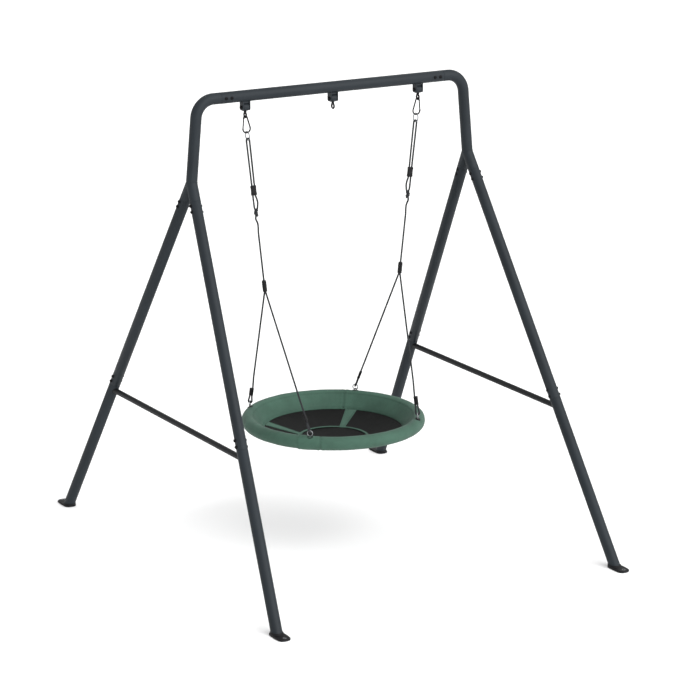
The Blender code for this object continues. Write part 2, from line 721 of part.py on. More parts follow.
def make_hoop():
    """The steel hoop, with a vent hole and four welded lugs for the seat rings."""
    hoop = torus("seat_hoop", (0, 0, RIM_Z), (0, 0, 1), RIM_RADIUS, HOOP_R, SEAT_STEPS, 7)
    wall = hoop.modifiers.new("wall", "SOLIDIFY")
    wall.thickness = HOOP_WALL
    wall.offset = -1
    for side in SIDES:
        for end in ENDS:
            centre = seat_ring_centre(side, end)
            low, high = RIM_Z + HOOP_R - 0.0012, SEAT_RING_Z - SEAT_RING_R + 0.0072
            lug = box(f"lug_{side}_{end}", (0.004, 0.015, high - low), (0, 0, (high + low) / 2))
            turn = math.atan2(ENDS[end], SIDES[side]) - math.pi / 2
            lug.matrix_world = Matrix.Translation((centre.x, centre.y, 0)) @ Matrix.Rotation(turn, 4, "Z")
            join(hoop, lug)
            tangent = Vector((0, 0, 1)).cross(radial(side, end))
            hole = centre - Vector((0, 0, SEAT_RING_R))
            cut(hoop, rod(f"lug_hole_{side}_{end}", hole - 0.01 * tangent, hole + 0.01 * tangent, 0.0034, 10))
    cut(hoop, rod("hoop_vent", (RIM_RADIUS, 0, RIM_Z - 0.03), (RIM_RADIUS, 0, RIM_Z), 0.003, 8))
    keep(hoop, "black_steel")


def make_foam():
    """The foam sleeve round the hoop, open along a slit underneath, with slots for the lugs."""
    foam = turned("rim_foam", [*ring_arc(FOAM_R, 255, -75, 9), *ring_arc(HOOP_R + 0.0014, -78, 258, 9)], SEAT_STEPS)
    for side in SIDES:
        for end in ENDS:
            turn = math.atan2(ENDS[end], SIDES[side]) - math.pi / 2
            slot = box(f"foam_slot_{side}_{end}", (0.007, 0.019, 0.06), (0, 0, RIM_Z + 0.005 + 0.03))
            slot.matrix_world = Matrix.Translation((SIDES[side] * ATTACH, ENDS[end] * ATTACH, 0)) @ Matrix.Rotation(
                turn, 4, "Z")
            cut(foam, slot)
    keep(foam, "foam")


def cover_profile():
    """The skin round the rim, which leaves it on its inner upper side and slopes down to the base."""
    edge = (BASE_RADIUS, BASE_EDGE_Z)
    away = math.hypot(edge[0] - RIM_RADIUS, edge[1] - RIM_Z)
    towards = math.degrees(math.atan2(edge[1] - RIM_Z, edge[0] - RIM_RADIUS)) % 360
    leave = towards - math.degrees(math.acos(RIM_R / away))
    outer = ring_arc(RIM_R, leave, leave - 338, 10)
    inner = ring_arc(RIM_R - SKIN, leave - 338, leave, 10)
    slope = math.atan2(outer[0][1] - edge[1], outer[0][0] - edge[0])
    under = (edge[0] + SKIN * math.sin(slope), edge[1] - SKIN * math.cos(slope))
    return [edge, *outer, *inner, under]


def make_cover():
    cover = turned("seat_cover", cover_profile(), SEAT_STEPS)
    for side in SIDES:
        for end in ENDS:
            place = Vector((SIDES[side] * ATTACH, ENDS[end] * ATTACH, RIM_Z + 0.02))
            cut(cover, rod(f"eyelet_{side}_{end}", place, place + Vector((0, 0, 0.04)), 0.0098, 10))
    keep(cover, "green_fabric")


def base_height(radius):
    """The sagging base's upper surface."""
    if radius < BASE_RING:
        t = radius / BASE_RING
        return BASE_MIDDLE_Z + (BASE_RING_Z - BASE_MIDDLE_Z) * t * t
    t = (radius - BASE_RING) / (BASE_RADIUS - BASE_RING)
    return BASE_RING_Z + (BASE_EDGE_Z - BASE_RING_Z) * t


def ribbon(radii, thick, lift=0.0):
    """A turned sheet's profile between the first and last radius."""
    top = [(r, base_height(r) + lift + thick) for r in radii]
    low = [(r, base_height(r) + lift) for r in reversed(radii)]
    return top + low


def make_base():
    """The base cloth with its four sewn straps and centre ring."""
    edge = BASE_RADIUS - 0.0012
    radii = [0.0, 0.05, 0.10, BASE_RING - 0.007, BASE_RING + 0.007, 0.24, edge]
    base = turned("seat_base", [(r, z - BASE_THICK - STRAP_THICK) for r, z in ribbon(radii, BASE_THICK)],
                  SEAT_STEPS, closed=False)
    overlap = 0.0006
    ring = turned("base_ring", ribbon([BASE_RING - 0.007, BASE_RING + 0.007], STRAP_THICK + overlap,
                                      -STRAP_THICK - overlap), SEAT_STEPS)
    join(base, ring)
    for i in range(4):
        strap = turned(f"base_strap_{i}", ribbon([BASE_RING - 0.002, 0.24, edge - 0.002], STRAP_THICK + overlap,
                                                 -STRAP_THICK - overlap), 1)
        strap.modifiers["turn"].angle = math.radians(10)
        join(base, capped(strap, math.radians(45 + 90 * i - 5)))
    keep(base, "base_fabric")


def capped(thing, turn):
    """A part-turned object made a closed mesh and turned about Z."""
    bpy.context.view_layer.update()
    mesh = bpy.data.meshes.new_from_object(thing.evaluated_get(bpy.context.evaluated_depsgraph_get()))
    shape = bmesh.new()
    shape.from_mesh(mesh)
    bmesh.ops.holes_fill(shape, edges=[e for e in shape.edges if e.is_boundary], sides=0)
    name = thing.name
    bpy.data.objects.remove(thing, do_unlink=True)
    made = mesh_object(name, shape)
    made.matrix_world = Matrix.Rotation(turn, 4, "Z")
    return made


def main():
    start()
    make_materials()
    make_beam()
    for side in SIDES:
        make_corner(side)
        make_cross_bar(side)
        for end in ENDS:
            make_leg(side, end)
            make_foot(side, end)
            normal = frame_normal(side)
            make_bolt_pair(f"fork_bolts_{side}_{end}", [leg_point(side, end, d) for d in FORK_BOLTS], -normal)
            make_bolt_pair(f"leg_bolts_{side}_{end}", [leg_point(side, end, d) for d in LEG_BOLTS], -normal)
        make_hanger(side, SIDES[side] * HANGER_X)
        make_hook(side)
        make_upper_bridle(side)
        make_lower_bridle(side)
    make_hanger("spare", 0.0)
    make_hoop()
    make_foam()
    make_cover()
    make_base()


main()
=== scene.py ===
"""Looks of the nest swing on its A-frame stand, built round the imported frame.

Metres, +Z up: the beam lies along X, the swing swings along Y, and the ground is z = 0. Each section makes
the pieces of one part of the swing: camera, ropes, stand, hangers, hooks and the sewn seat.
"""

import math
from itertools import accumulate

import bmesh
import bpy
from mathutils import Matrix, Vector, noise


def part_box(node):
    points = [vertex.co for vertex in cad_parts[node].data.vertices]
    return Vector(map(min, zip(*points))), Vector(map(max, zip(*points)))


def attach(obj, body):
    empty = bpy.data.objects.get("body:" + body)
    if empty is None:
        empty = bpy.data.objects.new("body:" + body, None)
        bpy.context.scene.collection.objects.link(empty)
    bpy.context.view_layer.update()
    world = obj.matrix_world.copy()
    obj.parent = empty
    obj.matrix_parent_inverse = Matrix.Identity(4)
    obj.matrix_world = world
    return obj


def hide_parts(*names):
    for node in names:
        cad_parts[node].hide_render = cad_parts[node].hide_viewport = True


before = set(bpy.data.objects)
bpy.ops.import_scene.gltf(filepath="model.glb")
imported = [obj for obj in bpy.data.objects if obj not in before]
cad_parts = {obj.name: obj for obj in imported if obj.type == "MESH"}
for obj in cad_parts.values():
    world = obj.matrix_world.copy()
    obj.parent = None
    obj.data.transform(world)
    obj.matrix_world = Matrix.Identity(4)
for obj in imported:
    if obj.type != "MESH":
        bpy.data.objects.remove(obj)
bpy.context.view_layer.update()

SIDES = {"left": -1, "right": 1}
ENDS = {"front": -1, "rear": 1}
CORNERS = [(side, end) for side in SIDES for end in ENDS]
TAU = 2 * math.pi
UP = Vector((0, 0, 1))


def corner_of(node, high=False):
    return Vector(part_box(node)[1 if high else 0])


def turns(count):
    """The angles of even steps round a circle."""
    return [TAU * k / count for k in range(count)]


def polar(radius, angle, height=0.0):
    return Vector((radius * math.cos(angle), radius * math.sin(angle), height))


# ---------------------------------------------------------------- sizes, as in the CAD model

TUBE_R = (corner_of("top_beam", True).z - corner_of("top_beam").z) / 2
BEAM_Z = corner_of("top_beam").z + TUBE_R
BEAM_END = corner_of("top_beam", True).x
TUBE_WALL = 0.0018
SPLAY = 0.0885            # how far the A-frames lean out, per metre down
CORNER_X = 0.6846         # where the beam's and the post's centrelines cross
BEND_R = 0.085
FORK_Z = 1.7524
FOOT_Y = 1.0391
LEG_START = 0.093         # distances along a leg from the fork's crossing point
FORK_BOLTS = (0.108, 0.136)
LEG_SPLIT = 1.226
LEG_BOLTS = (1.180, 1.210)
BEAM_BOLTS = (0.525, 0.553)
BAR_Z = 0.666
BAR_R, BAR_WALL = 0.013, 0.0015
GAP = 0.0003
EDGE = 0.0007             # the softened edge of a cut tube

FOOT_LONG, FOOT_WIDE, FOOT_THICK = 0.120, 0.062, 0.010
FOOT_SHIFT = 0.022
PEG_Y = 0.042             # from the foot plate's middle to its peg hole
TUBE_END_Z = 0.0045       # the legs' tubes stand in the shoes, cut level
LIP_HIGH = 0.0158
PEG_HOLE_R = 0.0050

HANGERS = {"left": -0.4468, "right": 0.4468, "spare": 0.0}
PIN_Z = 2.066
BRACKET = (0.037, 0.034)
BRACKET_LOW = corner_of("bracket_spare").z
SADDLE_STEPS = 24
SLOT_X = 0.0146
HUB_R = 0.0165
EYE_WIRE, EYE_R, EYE_Z = 0.0036, 0.0119, 2.031
EYE_HOLE_R, EYE_HOLE_Z = 0.0062, 2.0290   # the forged eye is thickest at its neck

HANGER_X = HANGERS["right"]
HANG_Z = 2.0262
ROPE_R = 0.004
HOOK_WIRE = 0.0032
HOOK_TOP_R, HOOK_LOW_R, HOOK_LONG = 0.0085, 0.0183, 0.0766
RING_WIRE, RING_R = 0.0025, 0.0198
ADJUSTER_AT = (0.320, 0.365)
ADJUSTER = (0.027, 0.015)
STRAND_X = 0.0066
KNOT_AT = 0.446
JUNCTION = (0.764, 0.816)
JUNCTION_R = 0.0105
ROPE_JOINT = JUNCTION[0] + 0.022
V_HALF = 0.0046
SLEEVE_LONG, SLEEVE_WIDE, SLEEVE_DEEP = 0.040, 0.0205, 0.0122
LOOP_LONG = 0.046
UPPER_ROPE_LONG, LOWER_ROPE_LONG = 1.04, 1.56

ATTACH = 0.2835           # the seat rings are at (+-ATTACH, +-ATTACH)
SEAT_RING_Z = 0.6115
SEAT_RING_WIRE, SEAT_RING_R = 0.00225, 0.01225
RIM_RADIUS, RIM_Z, RIM_R = 0.3926, 0.565, 0.0315
FOAM_R = 0.0285
HOOP_R = 0.014
LUG_R = 0.0053
BASE_RADIUS, BASE_EDGE_Z = 0.320, 0.521
BASE_RING, BASE_RING_Z = 0.160, 0.483
BASE_MIDDLE_Z = 0.4725
STRAP_TURN = math.radians(5)   # half of a strap's width, as a turn about the seat
SEAMS = tuple(math.radians(d) for d in (52, -128, -143))   # two joins of the cover and its overlap

LENS_MM, SENSOR_MM = 155.34, 36
CAMERA_AT = (-6.6654, -11.6079, 4.4847)
CAMERA_TILT, CAMERA_PAN = math.radians(74.988), math.radians(-30.195)
SKY_STRENGTH = 0.72
SUNS = {"front": ((-0.30, 0.80, -0.50), 70, 3.1), "top": ((-0.15, 0.10, -1.0), 120, 0.7)}


# ---------------------------------------------------------------- materials

def node(tree, kind, sockets=None, **settings):
    """A shader node. Sockets go by name or number, and a value is a number, a colour or an output."""
    made = tree.nodes.new(f"ShaderNode{kind}")
    for name, value in settings.items():
        setattr(made, name, value)
    for name, value in (sockets or {}).items():
        if isinstance(value, bpy.types.NodeSocket):
            tree.links.new(value, made.inputs[name])
        else:
            made.inputs[name].default_value = value
    return made


def coat(name, roughness, metallic=0.0, **others):
    """A material and its shader, with what is the same all over set on the shader's own sockets."""
    made = bpy.data.materials.new(name)
    made.use_nodes = True
    shader = made.node_tree.nodes["Principled BSDF"]
    shader.inputs["Roughness"].default_value = roughness
    shader.inputs["Metallic"].default_value = metallic
    for socket, value in others.items():
        shader.inputs[socket.replace("_", " ")].default_value = value
    return made, made.node_tree, shader


def place_in(tree):
    return node(tree, "TexCoord").outputs["Object"]


def grain(tree, scale, detail=2.0, roughness=0.5, where=None):
    return node(tree, "TexNoise", {"Vector": where or place_in(tree), "Scale": scale, "Detail": detail,
                                   "Roughness": roughness}).outputs["Fac"]


def spread(tree, value, low, high, into_low, into_high):
    return node(tree, "MapRange", {"Value": value, "From Min": low, "From Max": high, "To Min": into_low,
                                   "To Max": into_high}).outputs["Result"]


def blend_colours(tree, share, first, second):
    first, second = (c if isinstance(c, bpy.types.NodeSocket) else (*c, 1) for c in (first, second))
    return node(tree, "Mix", {0: share, 6: first, 7: second}, data_type="RGBA").outputs[2]


def share_of(tree, value, low, high, most=1.0):
    """0 below low, most above high, and even steps between."""
    return spread(tree, value, low, high, 0.0, most)


def shaded(colour, share, more=0.0):
    return tuple(share * c + more for c in colour)


def sum_of(tree, first, second, operation="ADD"):
    return node(tree, "Math", {0: first, 1: second}, operation=operation).outputs[0]


def ripple(tree, value, period):
    """A sine of a length, from -1 to 1, which repeats after each period."""
    return node(tree, "Math", {0: sum_of(tree, value, TAU / period, "MULTIPLY")}, operation="SINE").outputs[0]


def bump(tree, shader, height, distance, strength=1.0):
    made = node(tree, "Bump", {"Height": height, "Distance": distance, "Strength": strength})
    tree.links.new(made.outputs["Normal"], shader.inputs["Normal"])


def paint(tree, shader, colour, roughness=None):
    tree.links.new(colour, shader.inputs["Base Color"])
    if roughness:
        tree.links.new(roughness, shader.inputs["Roughness"])


def powder_coat(name, colour, roughness):
    """Powder coat over steel: a fine orange peel, with slightly uneven colour and gloss."""
    made, tree, shader = coat(name, roughness, Specular_IOR_Level=0.17)
    cloudy = grain(tree, 5.0, 3.0)
    speckle = grain(tree, 1400.0, 1.0)
    light, dark = shaded(colour, 1.12), shaded(colour, 0.86)
    mottled = blend_colours(tree, share_of(tree, cloudy, 0.35, 0.65), dark, light)
    flecks = share_of(tree, speckle, 0.55, 0.75, 0.35)
    flecked = blend_colours(tree, flecks, mottled, shaded(colour, 1.5, 0.004))
    paint(tree, shader, flecked, spread(tree, cloudy, 0.3, 0.7, roughness - 0.05, roughness + 0.07))
    peel = sum_of(tree, grain(tree, 620.0, 2.0), sum_of(tree, speckle, 0.4, "MULTIPLY"))
    bump(tree, shader, peel, 0.00012, 0.5)
    return made


def moulded_plastic(name, colour, roughness=0.5):
    """Black moulded plastic with a fine spark-eroded grain."""
    made, tree, shader = coat(name, roughness, Specular_IOR_Level=0.2)
    fine = grain(tree, 1900.0, 3.0, 0.6)
    worn = grain(tree, 30.0, 4.0, 0.6)
    scuffed = blend_colours(tree, share_of(tree, worn, 0.52, 0.72, 0.5), colour, shaded(colour, 1, 0.012))
    paint(tree, shader, scuffed, spread(tree, worn, 0.3, 0.7, roughness - 0.08, roughness + 0.1))
    bump(tree, shader, fine, 0.00008, 0.6)
    return made


def plated_steel(name, colour, roughness, metallic, streaks):
    """Plated steel: fine drawing marks, and a plating that varies a little from place to place."""
    made, tree, shader = coat(name, roughness, metallic, Specular_IOR_Level=0.15)
    cloudy = grain(tree, 70.0, 4.0, 0.6)
    stretched = node(tree, "Mapping", {"Vector": place_in(tree), "Scale": (1.0, 1.0, 0.08)}).outputs["Vector"]
    marks = grain(tree, 1800.0, 2.0, 0.5, stretched)
    tint = blend_colours(tree, share_of(tree, cloudy, 0.35, 0.7), shaded(colour, 0.8), shaded(colour, 1.15))
    paint(tree, shader, tint, spread(tree, cloudy, 0.3, 0.7, roughness - 0.07, roughness + 0.12))
    bump(tree, shader, marks, 0.00005, streaks)
    return made


def along_and_round(tree):
    """The lengths along and round a swept piece, from its own map."""
    split = node(tree, "SeparateXYZ", {"Vector": node(tree, "UVMap", uv_map="lengths").outputs["UV"]})
    return split.outputs["X"], split.outputs["Y"]


def braided_rope(name, dark, light):
    """A braid of strands that cross in two directions, with grooves between them and a little fuzz. The
    colour follows the braid's height: painted shade darkens the grooves, and the crests are lighter.
    """
    made, tree, shader = coat(name, 0.82, Sheen_Weight=0.04, Sheen_Roughness=0.5, Specular_IOR_Level=0.2)
    u, v = along_and_round(tree)
    one, other = (ripple(tree, sum_of(tree, u, v, way), 0.0032) for way in ("ADD", "SUBTRACT"))
    braid = sum_of(tree, one, other, "MULTIPLY")
    # painted shade: darker in the braid's grooves, lighter on its crests, following the bump height
    shade = share_of(tree, braid, -0.9, 0.6)
    fibres = grain(tree, 2600.0, 2.0)
    strand_and_groove_shade = blend_colours(tree, shade, dark, light)
    fuzz = share_of(tree, fibres, 0.5, 0.8, 0.5)
    paint(tree, shader, blend_colours(tree, fuzz, strand_and_groove_shade, shaded(light, 1.7)))
    bump(tree, shader, sum_of(tree, braid, sum_of(tree, fibres, 0.5, "MULTIPLY")), 0.0004, 0.8)
    return made


def coated_cloth(name, colour, thread=0.0011):
    """Coated oxford cloth: a plain weave under a thin matt coat, faded here and there."""
    made, tree, shader = coat(name, 0.72, Sheen_Weight=0.06, Sheen_Roughness=0.45, Specular_IOR_Level=0.25)
    u, v = along_and_round(tree)
    weave = sum_of(tree, ripple(tree, u, 2 * thread), ripple(tree, v, 2 * thread), "MULTIPLY")
    cloudy = grain(tree, 9.0, 4.0, 0.55)
    rub = grain(tree, 60.0, 5.0, 0.6)
    wide = blend_colours(tree, share_of(tree, cloudy, 0.35, 0.66), shaded(colour, 0.83), shaded(colour, 1.14))
    rubbed = blend_colours(tree, share_of(tree, rub, 0.5, 0.75, 0.3), wide, shaded(colour, 1.35))
    woven = blend_colours(tree, share_of(tree, weave, -1.0, 1.0, 0.35), rubbed, shaded(colour, 0.6))
    paint(tree, shader, woven, spread(tree, rub, 0.3, 0.7, 0.66, 0.8))
    fine = sum_of(tree, sum_of(tree, weave, 0.5, "MULTIPLY"), sum_of(tree, rub, 1.2, "MULTIPLY"))
    bump(tree, shader, fine, 0.0003, 0.6)
    return made


def open_weave(name, dark, light):
    """Plastic-coated yarns woven two by two; the colour follows the weave's height, with painted shade
    darkening the small gaps and the lower yarns.
    """
    made, tree, shader = coat(name, 0.62, Specular_IOR_Level=0.15)
    split = node(tree, "SeparateXYZ", {"Vector": place_in(tree)})
    across, along = split.outputs["X"], split.outputs["Y"]
    yarn = sum_of(tree, ripple(tree, across, 0.0030), ripple(tree, along, 0.0030), "MULTIPLY")
    ribs = sum_of(tree, ripple(tree, across, 0.0015), ripple(tree, along, 0.0015), "MAXIMUM")
    height = sum_of(tree, yarn, sum_of(tree, ribs, 0.6, "MULTIPLY"))
    # painted shade: the colour darkens as the weave's height drops, most in the gaps
    tint = blend_colours(tree, share_of(tree, height, -1.2, 1.4), dark, light)
    dusty = share_of(tree, grain(tree, 14.0, 4.0, 0.6), 0.5, 0.75, 0.35)
    paint(tree, shader, blend_colours(tree, dusty, tint, shaded(light, 1, 0.006)))
    bump(tree, shader, height, 0.0004, 0.7)
    return made


def plain_foam(name, colour):
    made, tree, shader = coat(name, 0.95)
    cells = node(tree, "TexVoronoi", {"Vector": place_in(tree), "Scale": 900.0}).outputs["Distance"]
    # painted shade: darker in the foam's cell pits, where the bump dips
    paint(tree, shader, blend_colours(tree, share_of(tree, cells, 0.0, 0.6), shaded(colour, 0.6), colour))
    bump(tree, shader, cells, 0.0002, 0.6)
    return made


def paper_floor(name):
    made, tree, shader = coat(name, 0.9, Base_Color=(0.94, 0.94, 0.94, 1))
    bump(tree, shader, grain(tree, 40.0, 3.0), 0.0001, 0.1)
    return made


COATS = {
    "frame_coat": powder_coat("frame_coat", (0.0155, 0.0198, 0.0240), 0.5),
    "bar_coat": powder_coat("bar_coat", (0.006, 0.007, 0.008), 0.5),
    "black_plastic": moulded_plastic("black_plastic", (0.003, 0.003, 0.004)),
    "black_steel": plated_steel("black_steel", (0.003, 0.003, 0.004), 0.55, 0.0, 0.3),
    "zinc_steel": plated_steel("zinc_steel", (0.24, 0.25, 0.26), 0.40, 1.0, 0.4),
    "rope": braided_rope("rope", (0.006, 0.006, 0.007), (0.030, 0.033, 0.037)),
    "green_fabric": coated_cloth("green_fabric", (0.043, 0.098, 0.070)),
    "base_fabric": open_weave("base_fabric", (0.0015, 0.0015, 0.0015), (0.006, 0.006, 0.006)),
    "foam": plain_foam("foam", (0.10, 0.10, 0.10)),
}
THREAD = coated_cloth("thread", (0.018, 0.046, 0.034), 0.0004)
FLOOR = paper_floor("floor")


# ---------------------------------------------------------------- shapes

def along(start, direction, across=(0, 0, 1)):
    """A matrix at start with +Z along direction and +X as near to across as it can be."""
    z = Vector(direction).normalized()
    x = Vector(across) - Vector(across).dot(z) * z
    if x.length < 1e-6:
        x = Vector((1, 0, 0)) - z.x * z
    x.normalize()
    return Matrix.Translation(start) @ Matrix((x, z.cross(x), z)).transposed().to_4x4()


def arc(centre, first, second, radius, start_deg, end_deg, count):
    """Points on an arc in the plane of the unit vectors first and second."""
    angles = [math.radians(start_deg + (end_deg - start_deg) * i / count) for i in range(count + 1)]
    return [Vector(centre) + radius * (math.cos(a) * Vector(first) + math.sin(a) * Vector(second))
            for a in angles]


def smooth_route(points, per_span):
    """A Catmull-Rom curve through points, per_span points to each span."""
    points = [Vector(p) for p in points]
    padded = [2 * points[0] - points[1], *points, 2 * points[-1] - points[-2]]
    route = []
    for i in range(1, len(padded) - 2):
        a, b, c, d = padded[i - 1:i + 3]
        for k in range(per_span):
            t = k / per_span
            route.append(0.5 * (2 * b + (c - a) * t + (2 * a - 5 * b + 4 * c - d) * t**2
                                + (3 * b - a - 3 * c + d) * t**3))
    return route + [points[-1]]


def new_shape():
    shape = bmesh.new()
    shape.loops.layers.uv.new("lengths")
    return shape


def skin_over(shape, rows, closed_rows=False, closed_round=True, caps=True, lengths=None):
    """Faces between rows of points. lengths gives each row's distance along and each point's round."""
    made = [[shape.verts.new(p) for p in row] for row in rows]
    uv = shape.loops.layers.uv["lengths"]
    if lengths is None:
        lengths = ([0.0] * (len(rows) + 1), [0.0] * (len(rows[0]) + 1))
    down, round_ = lengths
    last = len(made) if closed_rows else len(made) - 1
    many = len(made[0]) if closed_round else len(made[0]) - 1
    for i in range(last):
        a, b = made[i], made[(i + 1) % len(made)]
        for k in range(many):
            n = (k + 1) % len(a)
            face = shape.faces.new((a[k], a[n], b[n], b[k]))
            for loop, place in zip(face.loops, ((i, k), (i, k + 1), (i + 1, k + 1), (i + 1, k))):
                loop[uv].uv = (down[place[0]], round_[place[1]])
    if caps and closed_round and not closed_rows:
        shape.faces.new(list(reversed(made[0])))
        shape.faces.new(made[-1])
    return made


def solid(rows):
    shape = new_shape()
    skin_over(shape, rows)
    return shape


def frames_along(points, closed, across):
    """For each point two unit vectors across the route, which turn as little as they can."""
    count = len(points)
    frames = []
    x = Vector(across) if across else None
    for i in range(count):
        before = points[(i - 1) % count] if closed or i else points[0]
        after = points[(i + 1) % count] if closed or i < count - 1 else points[-1]
        t = (after - before).normalized()
        x = x or t.orthogonal()
        x = (x - x.dot(t) * t).normalized()
        frames.append((x, t.cross(x)))
    return frames


def sweep(shape, points, radius, sides=16, closed=False, across=None):
    """A round section carried along points. radius may be a function of the distance along."""
    points = [Vector(p) for p in points]
    down = list(accumulate(((b - a).length for a, b in zip(points, points[1:] + points[:1])), initial=0.0))
    rows = []
    for i, (point, (x, y)) in enumerate(zip(points, frames_along(points, closed, across))):
        r = radius(down[i]) if callable(radius) else radius
        rows.append([point + r * (math.cos(a) * x + math.sin(a) * y) for a in turns(sides)])
    size = radius(0.0) if callable(radius) else radius
    round_ = [TAU * size * k / sides for k in range(sides + 1)]
    skin_over(shape, rows, closed_rows=closed, lengths=(down, round_))
    return shape


def lathe(shape, profile, place=None, steps=48, closed=True):
    """A profile of (radius, height) points turned about Z and put at place."""
    place = place or Matrix()
    down = list(accumulate(map(math.dist, profile, profile[1:] + profile[:1]), initial=0.0))
    rows = [[place @ polar(r, a, z) for a in turns(steps)] for r, z in profile]
    middle = sum(r for r, _ in profile) / len(profile)
    round_ = [TAU * middle * k / steps for k in range(steps + 1)]
    skin_over(shape, rows, closed_rows=closed, caps=not closed, lengths=(down, round_))
    return shape


def rounded(profile, size=0.0007, steps=3):
    """A closed profile with each corner replaced by a small arc."""
    points = [Vector(p) for p in profile]
    made = []
    for i, here in enumerate(points):
        before, after = points[i - 1], points[(i + 1) % len(points)]
        reach = min(size, 0.45 * (before - here).length, 0.45 * (after - here).length)
        a = here + reach * (before - here).normalized()
        b = here + reach * (after - here).normalized()
        for k in range(steps + 1):
            t = k / steps
            made.append(tuple((1 - t) ** 2 * a + 2 * t * (1 - t) * here + t**2 * b))
    return made


def ring(shape, centre, normal, radius, wire, steps=64, sides=20):
    """A closed ring of round wire."""
    place = along(centre, normal)
    points = [place @ polar(radius, a) for a in turns(steps)]
    return sweep(shape, points, wire, sides, closed=True, across=Vector(normal))


def mesh_of(name, shape):
    """The shape as a mesh with its faces turned outwards. The shape is freed."""
    bmesh.ops.recalc_face_normals(shape, faces=shape.faces)
    mesh = bpy.data.meshes.new(name)
    shape.to_mesh(mesh)
    shape.free()
    return mesh


def put_in_scene(name, data):
    made = bpy.data.objects.new(name, data)
    bpy.context.scene.collection.objects.link(made)
    return made


def piece(name, shape, material, body, stands_for=(), angle=35):
    """A finished piece: its mesh, its material, the body it rides on and the CAD nodes it stands for."""
    return finished(name, mesh_of(name, shape), material, body, stands_for, angle)


def finished(name, mesh, material, body, stands_for=(), angle=35):
    mesh.shade_smooth()
    mesh.set_sharp_from_angle(angle=math.radians(angle))
    mesh.materials.clear()
    mesh.materials.append(COATS.get(material) or THREAD)
    made = put_in_scene(name, mesh)
    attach(made, body)
    if stands_for:
        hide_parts(*stands_for)
    return made


def thickened(made, thickness):
    """Gives a cloth that is drawn as one skin its thickness, on its inner side."""
    wall = made.modifiers.new("thickness", "SOLIDIFY")
    wall.thickness = thickness
    wall.offset = -1
    return made


def fused(shape, voxel, rounds, cutters=()):
    """Closed solids melted into one skin, as in a forging or a moulding, and the mesh of the result."""
    made = put_in_scene("fused", mesh_of("fused", shape))
    remesh = made.modifiers.new("melt", "REMESH")
    remesh.mode = "VOXEL"
    remesh.voxel_size = voxel
    soft = made.modifiers.new("soften", "SMOOTH")
    soft.factor = 0.5
    soft.iterations = rounds
    for cutter in cutters:
        hole = made.modifiers.new("hole", "BOOLEAN")
        hole.operation = "DIFFERENCE"
        hole.object = cutter
    bpy.context.view_layer.update()
    result = bpy.data.meshes.new_from_object(made.evaluated_get(bpy.context.evaluated_depsgraph_get()))
    for each in (made, *cutters):
        bpy.data.objects.remove(each, do_unlink=True)
    return result


def cutter(start, end, radius, sides=32):
    """A round rod that only cuts a hole."""
    return put_in_scene("cutter", mesh_of("cutter", sweep(new_shape(), [start, end], radius, sides)))


# ---------------------------------------------------------------- camera, lights and floor

def set_stage():
    scene = bpy.context.scene
    lens = bpy.data.cameras.new("camera")
    lens.lens, lens.sensor_width, lens.clip_end = LENS_MM, SENSOR_MM, 200
    camera = put_in_scene("camera", lens)
    camera.location = CAMERA_AT
    camera.rotation_euler = (CAMERA_TILT, 0, CAMERA_PAN)
    scene.camera = camera

    world = bpy.data.worlds.new("studio")
    world.use_nodes = True
    backdrop = world.node_tree.nodes["Background"]
    backdrop.inputs["Color"].default_value = (1, 1, 1, 1)
    backdrop.inputs["Strength"].default_value = SKY_STRENGTH
    scene.world = world
    scene.view_settings.view_transform = "Standard"

    for name, (towards, softness, strength) in SUNS.items():
        lamp = bpy.data.lights.new(name, "SUN")
        lamp.angle = math.radians(softness)
        lamp.energy = strength
        put_in_scene(name, lamp).rotation_euler = Vector(towards).to_track_quat("-Z", "Y").to_euler()

    shape = bmesh.new()
    bmesh.ops.create_grid(shape, x_segments=2, y_segments=2, size=60)
    mesh = bpy.data.meshes.new("floor")
    shape.to_mesh(mesh)
    shape.free()
    mesh.materials.append(FLOOR)
    floor = put_in_scene("floor", mesh)
    floor.location.z = -0.0003


# ---------------------------------------------------------------- rope bridles

class Line:
    """A bridle's own frame: d runs down the leaning line, e across it towards the middle, and y along Y."""

    def __init__(self, side):
        self.s = SIDES[side]
        self.top = Vector((self.s * HANGER_X, 0, HANG_Z))
        low = Vector((self.s * ATTACH, 0, SEAT_RING_Z))
        self.down = (low - self.top).normalized()
        self.across = self.s * Vector((self.down.z, 0, -self.down.x))

    def at(self, d, e=0.0, y=0.0):
        return self.top + d * self.down + e * self.across + Vector((0, y, 0))


def upper_rope_route(line):
    """From the knot's tail, up through the adjuster, round the ring and down to the junction sleeve."""
    ring_low = HOOK_LONG - HOOK_WIRE - GAP + 2 * (RING_R - RING_WIRE)
    apex = ring_low - 0.0013 - ROPE_R
    turn = 0.0078
    top, low = ADJUSTER_AT[0] - 0.006, ADJUSTER_AT[1] + 0.006
    tail = smooth_route([line.at(KNOT_AT - 0.012, 0.0065), line.at(0.420, 0.0105), line.at(0.400, 0.0135),
                         line.at(0.382, 0.0105), line.at(low, STRAND_X)], 8)
    back = arc(line.at(apex + turn), line.across, -line.down, turn, 0, 180, 16)
    main = smooth_route([line.at(low, -STRAND_X), line.at(0.395, -0.0066), line.at(KNOT_AT - 0.022, -0.0055),
                         line.at(KNOT_AT - 0.006, 0.0015, 0.002), line.at(KNOT_AT + 0.010, -0.0020, -0.002),
                         line.at(KNOT_AT + 0.028, -0.0058), line.at(KNOT_AT + 0.052, 0.0022),
                         line.at(0.54, 0.0)], 8)
    return [*tail, line.at(top, STRAND_X), line.at(0.20, 0.0074), *back, line.at(0.20, -0.0074),
            line.at(top, -STRAND_X), *main, line.at(ROPE_JOINT)]


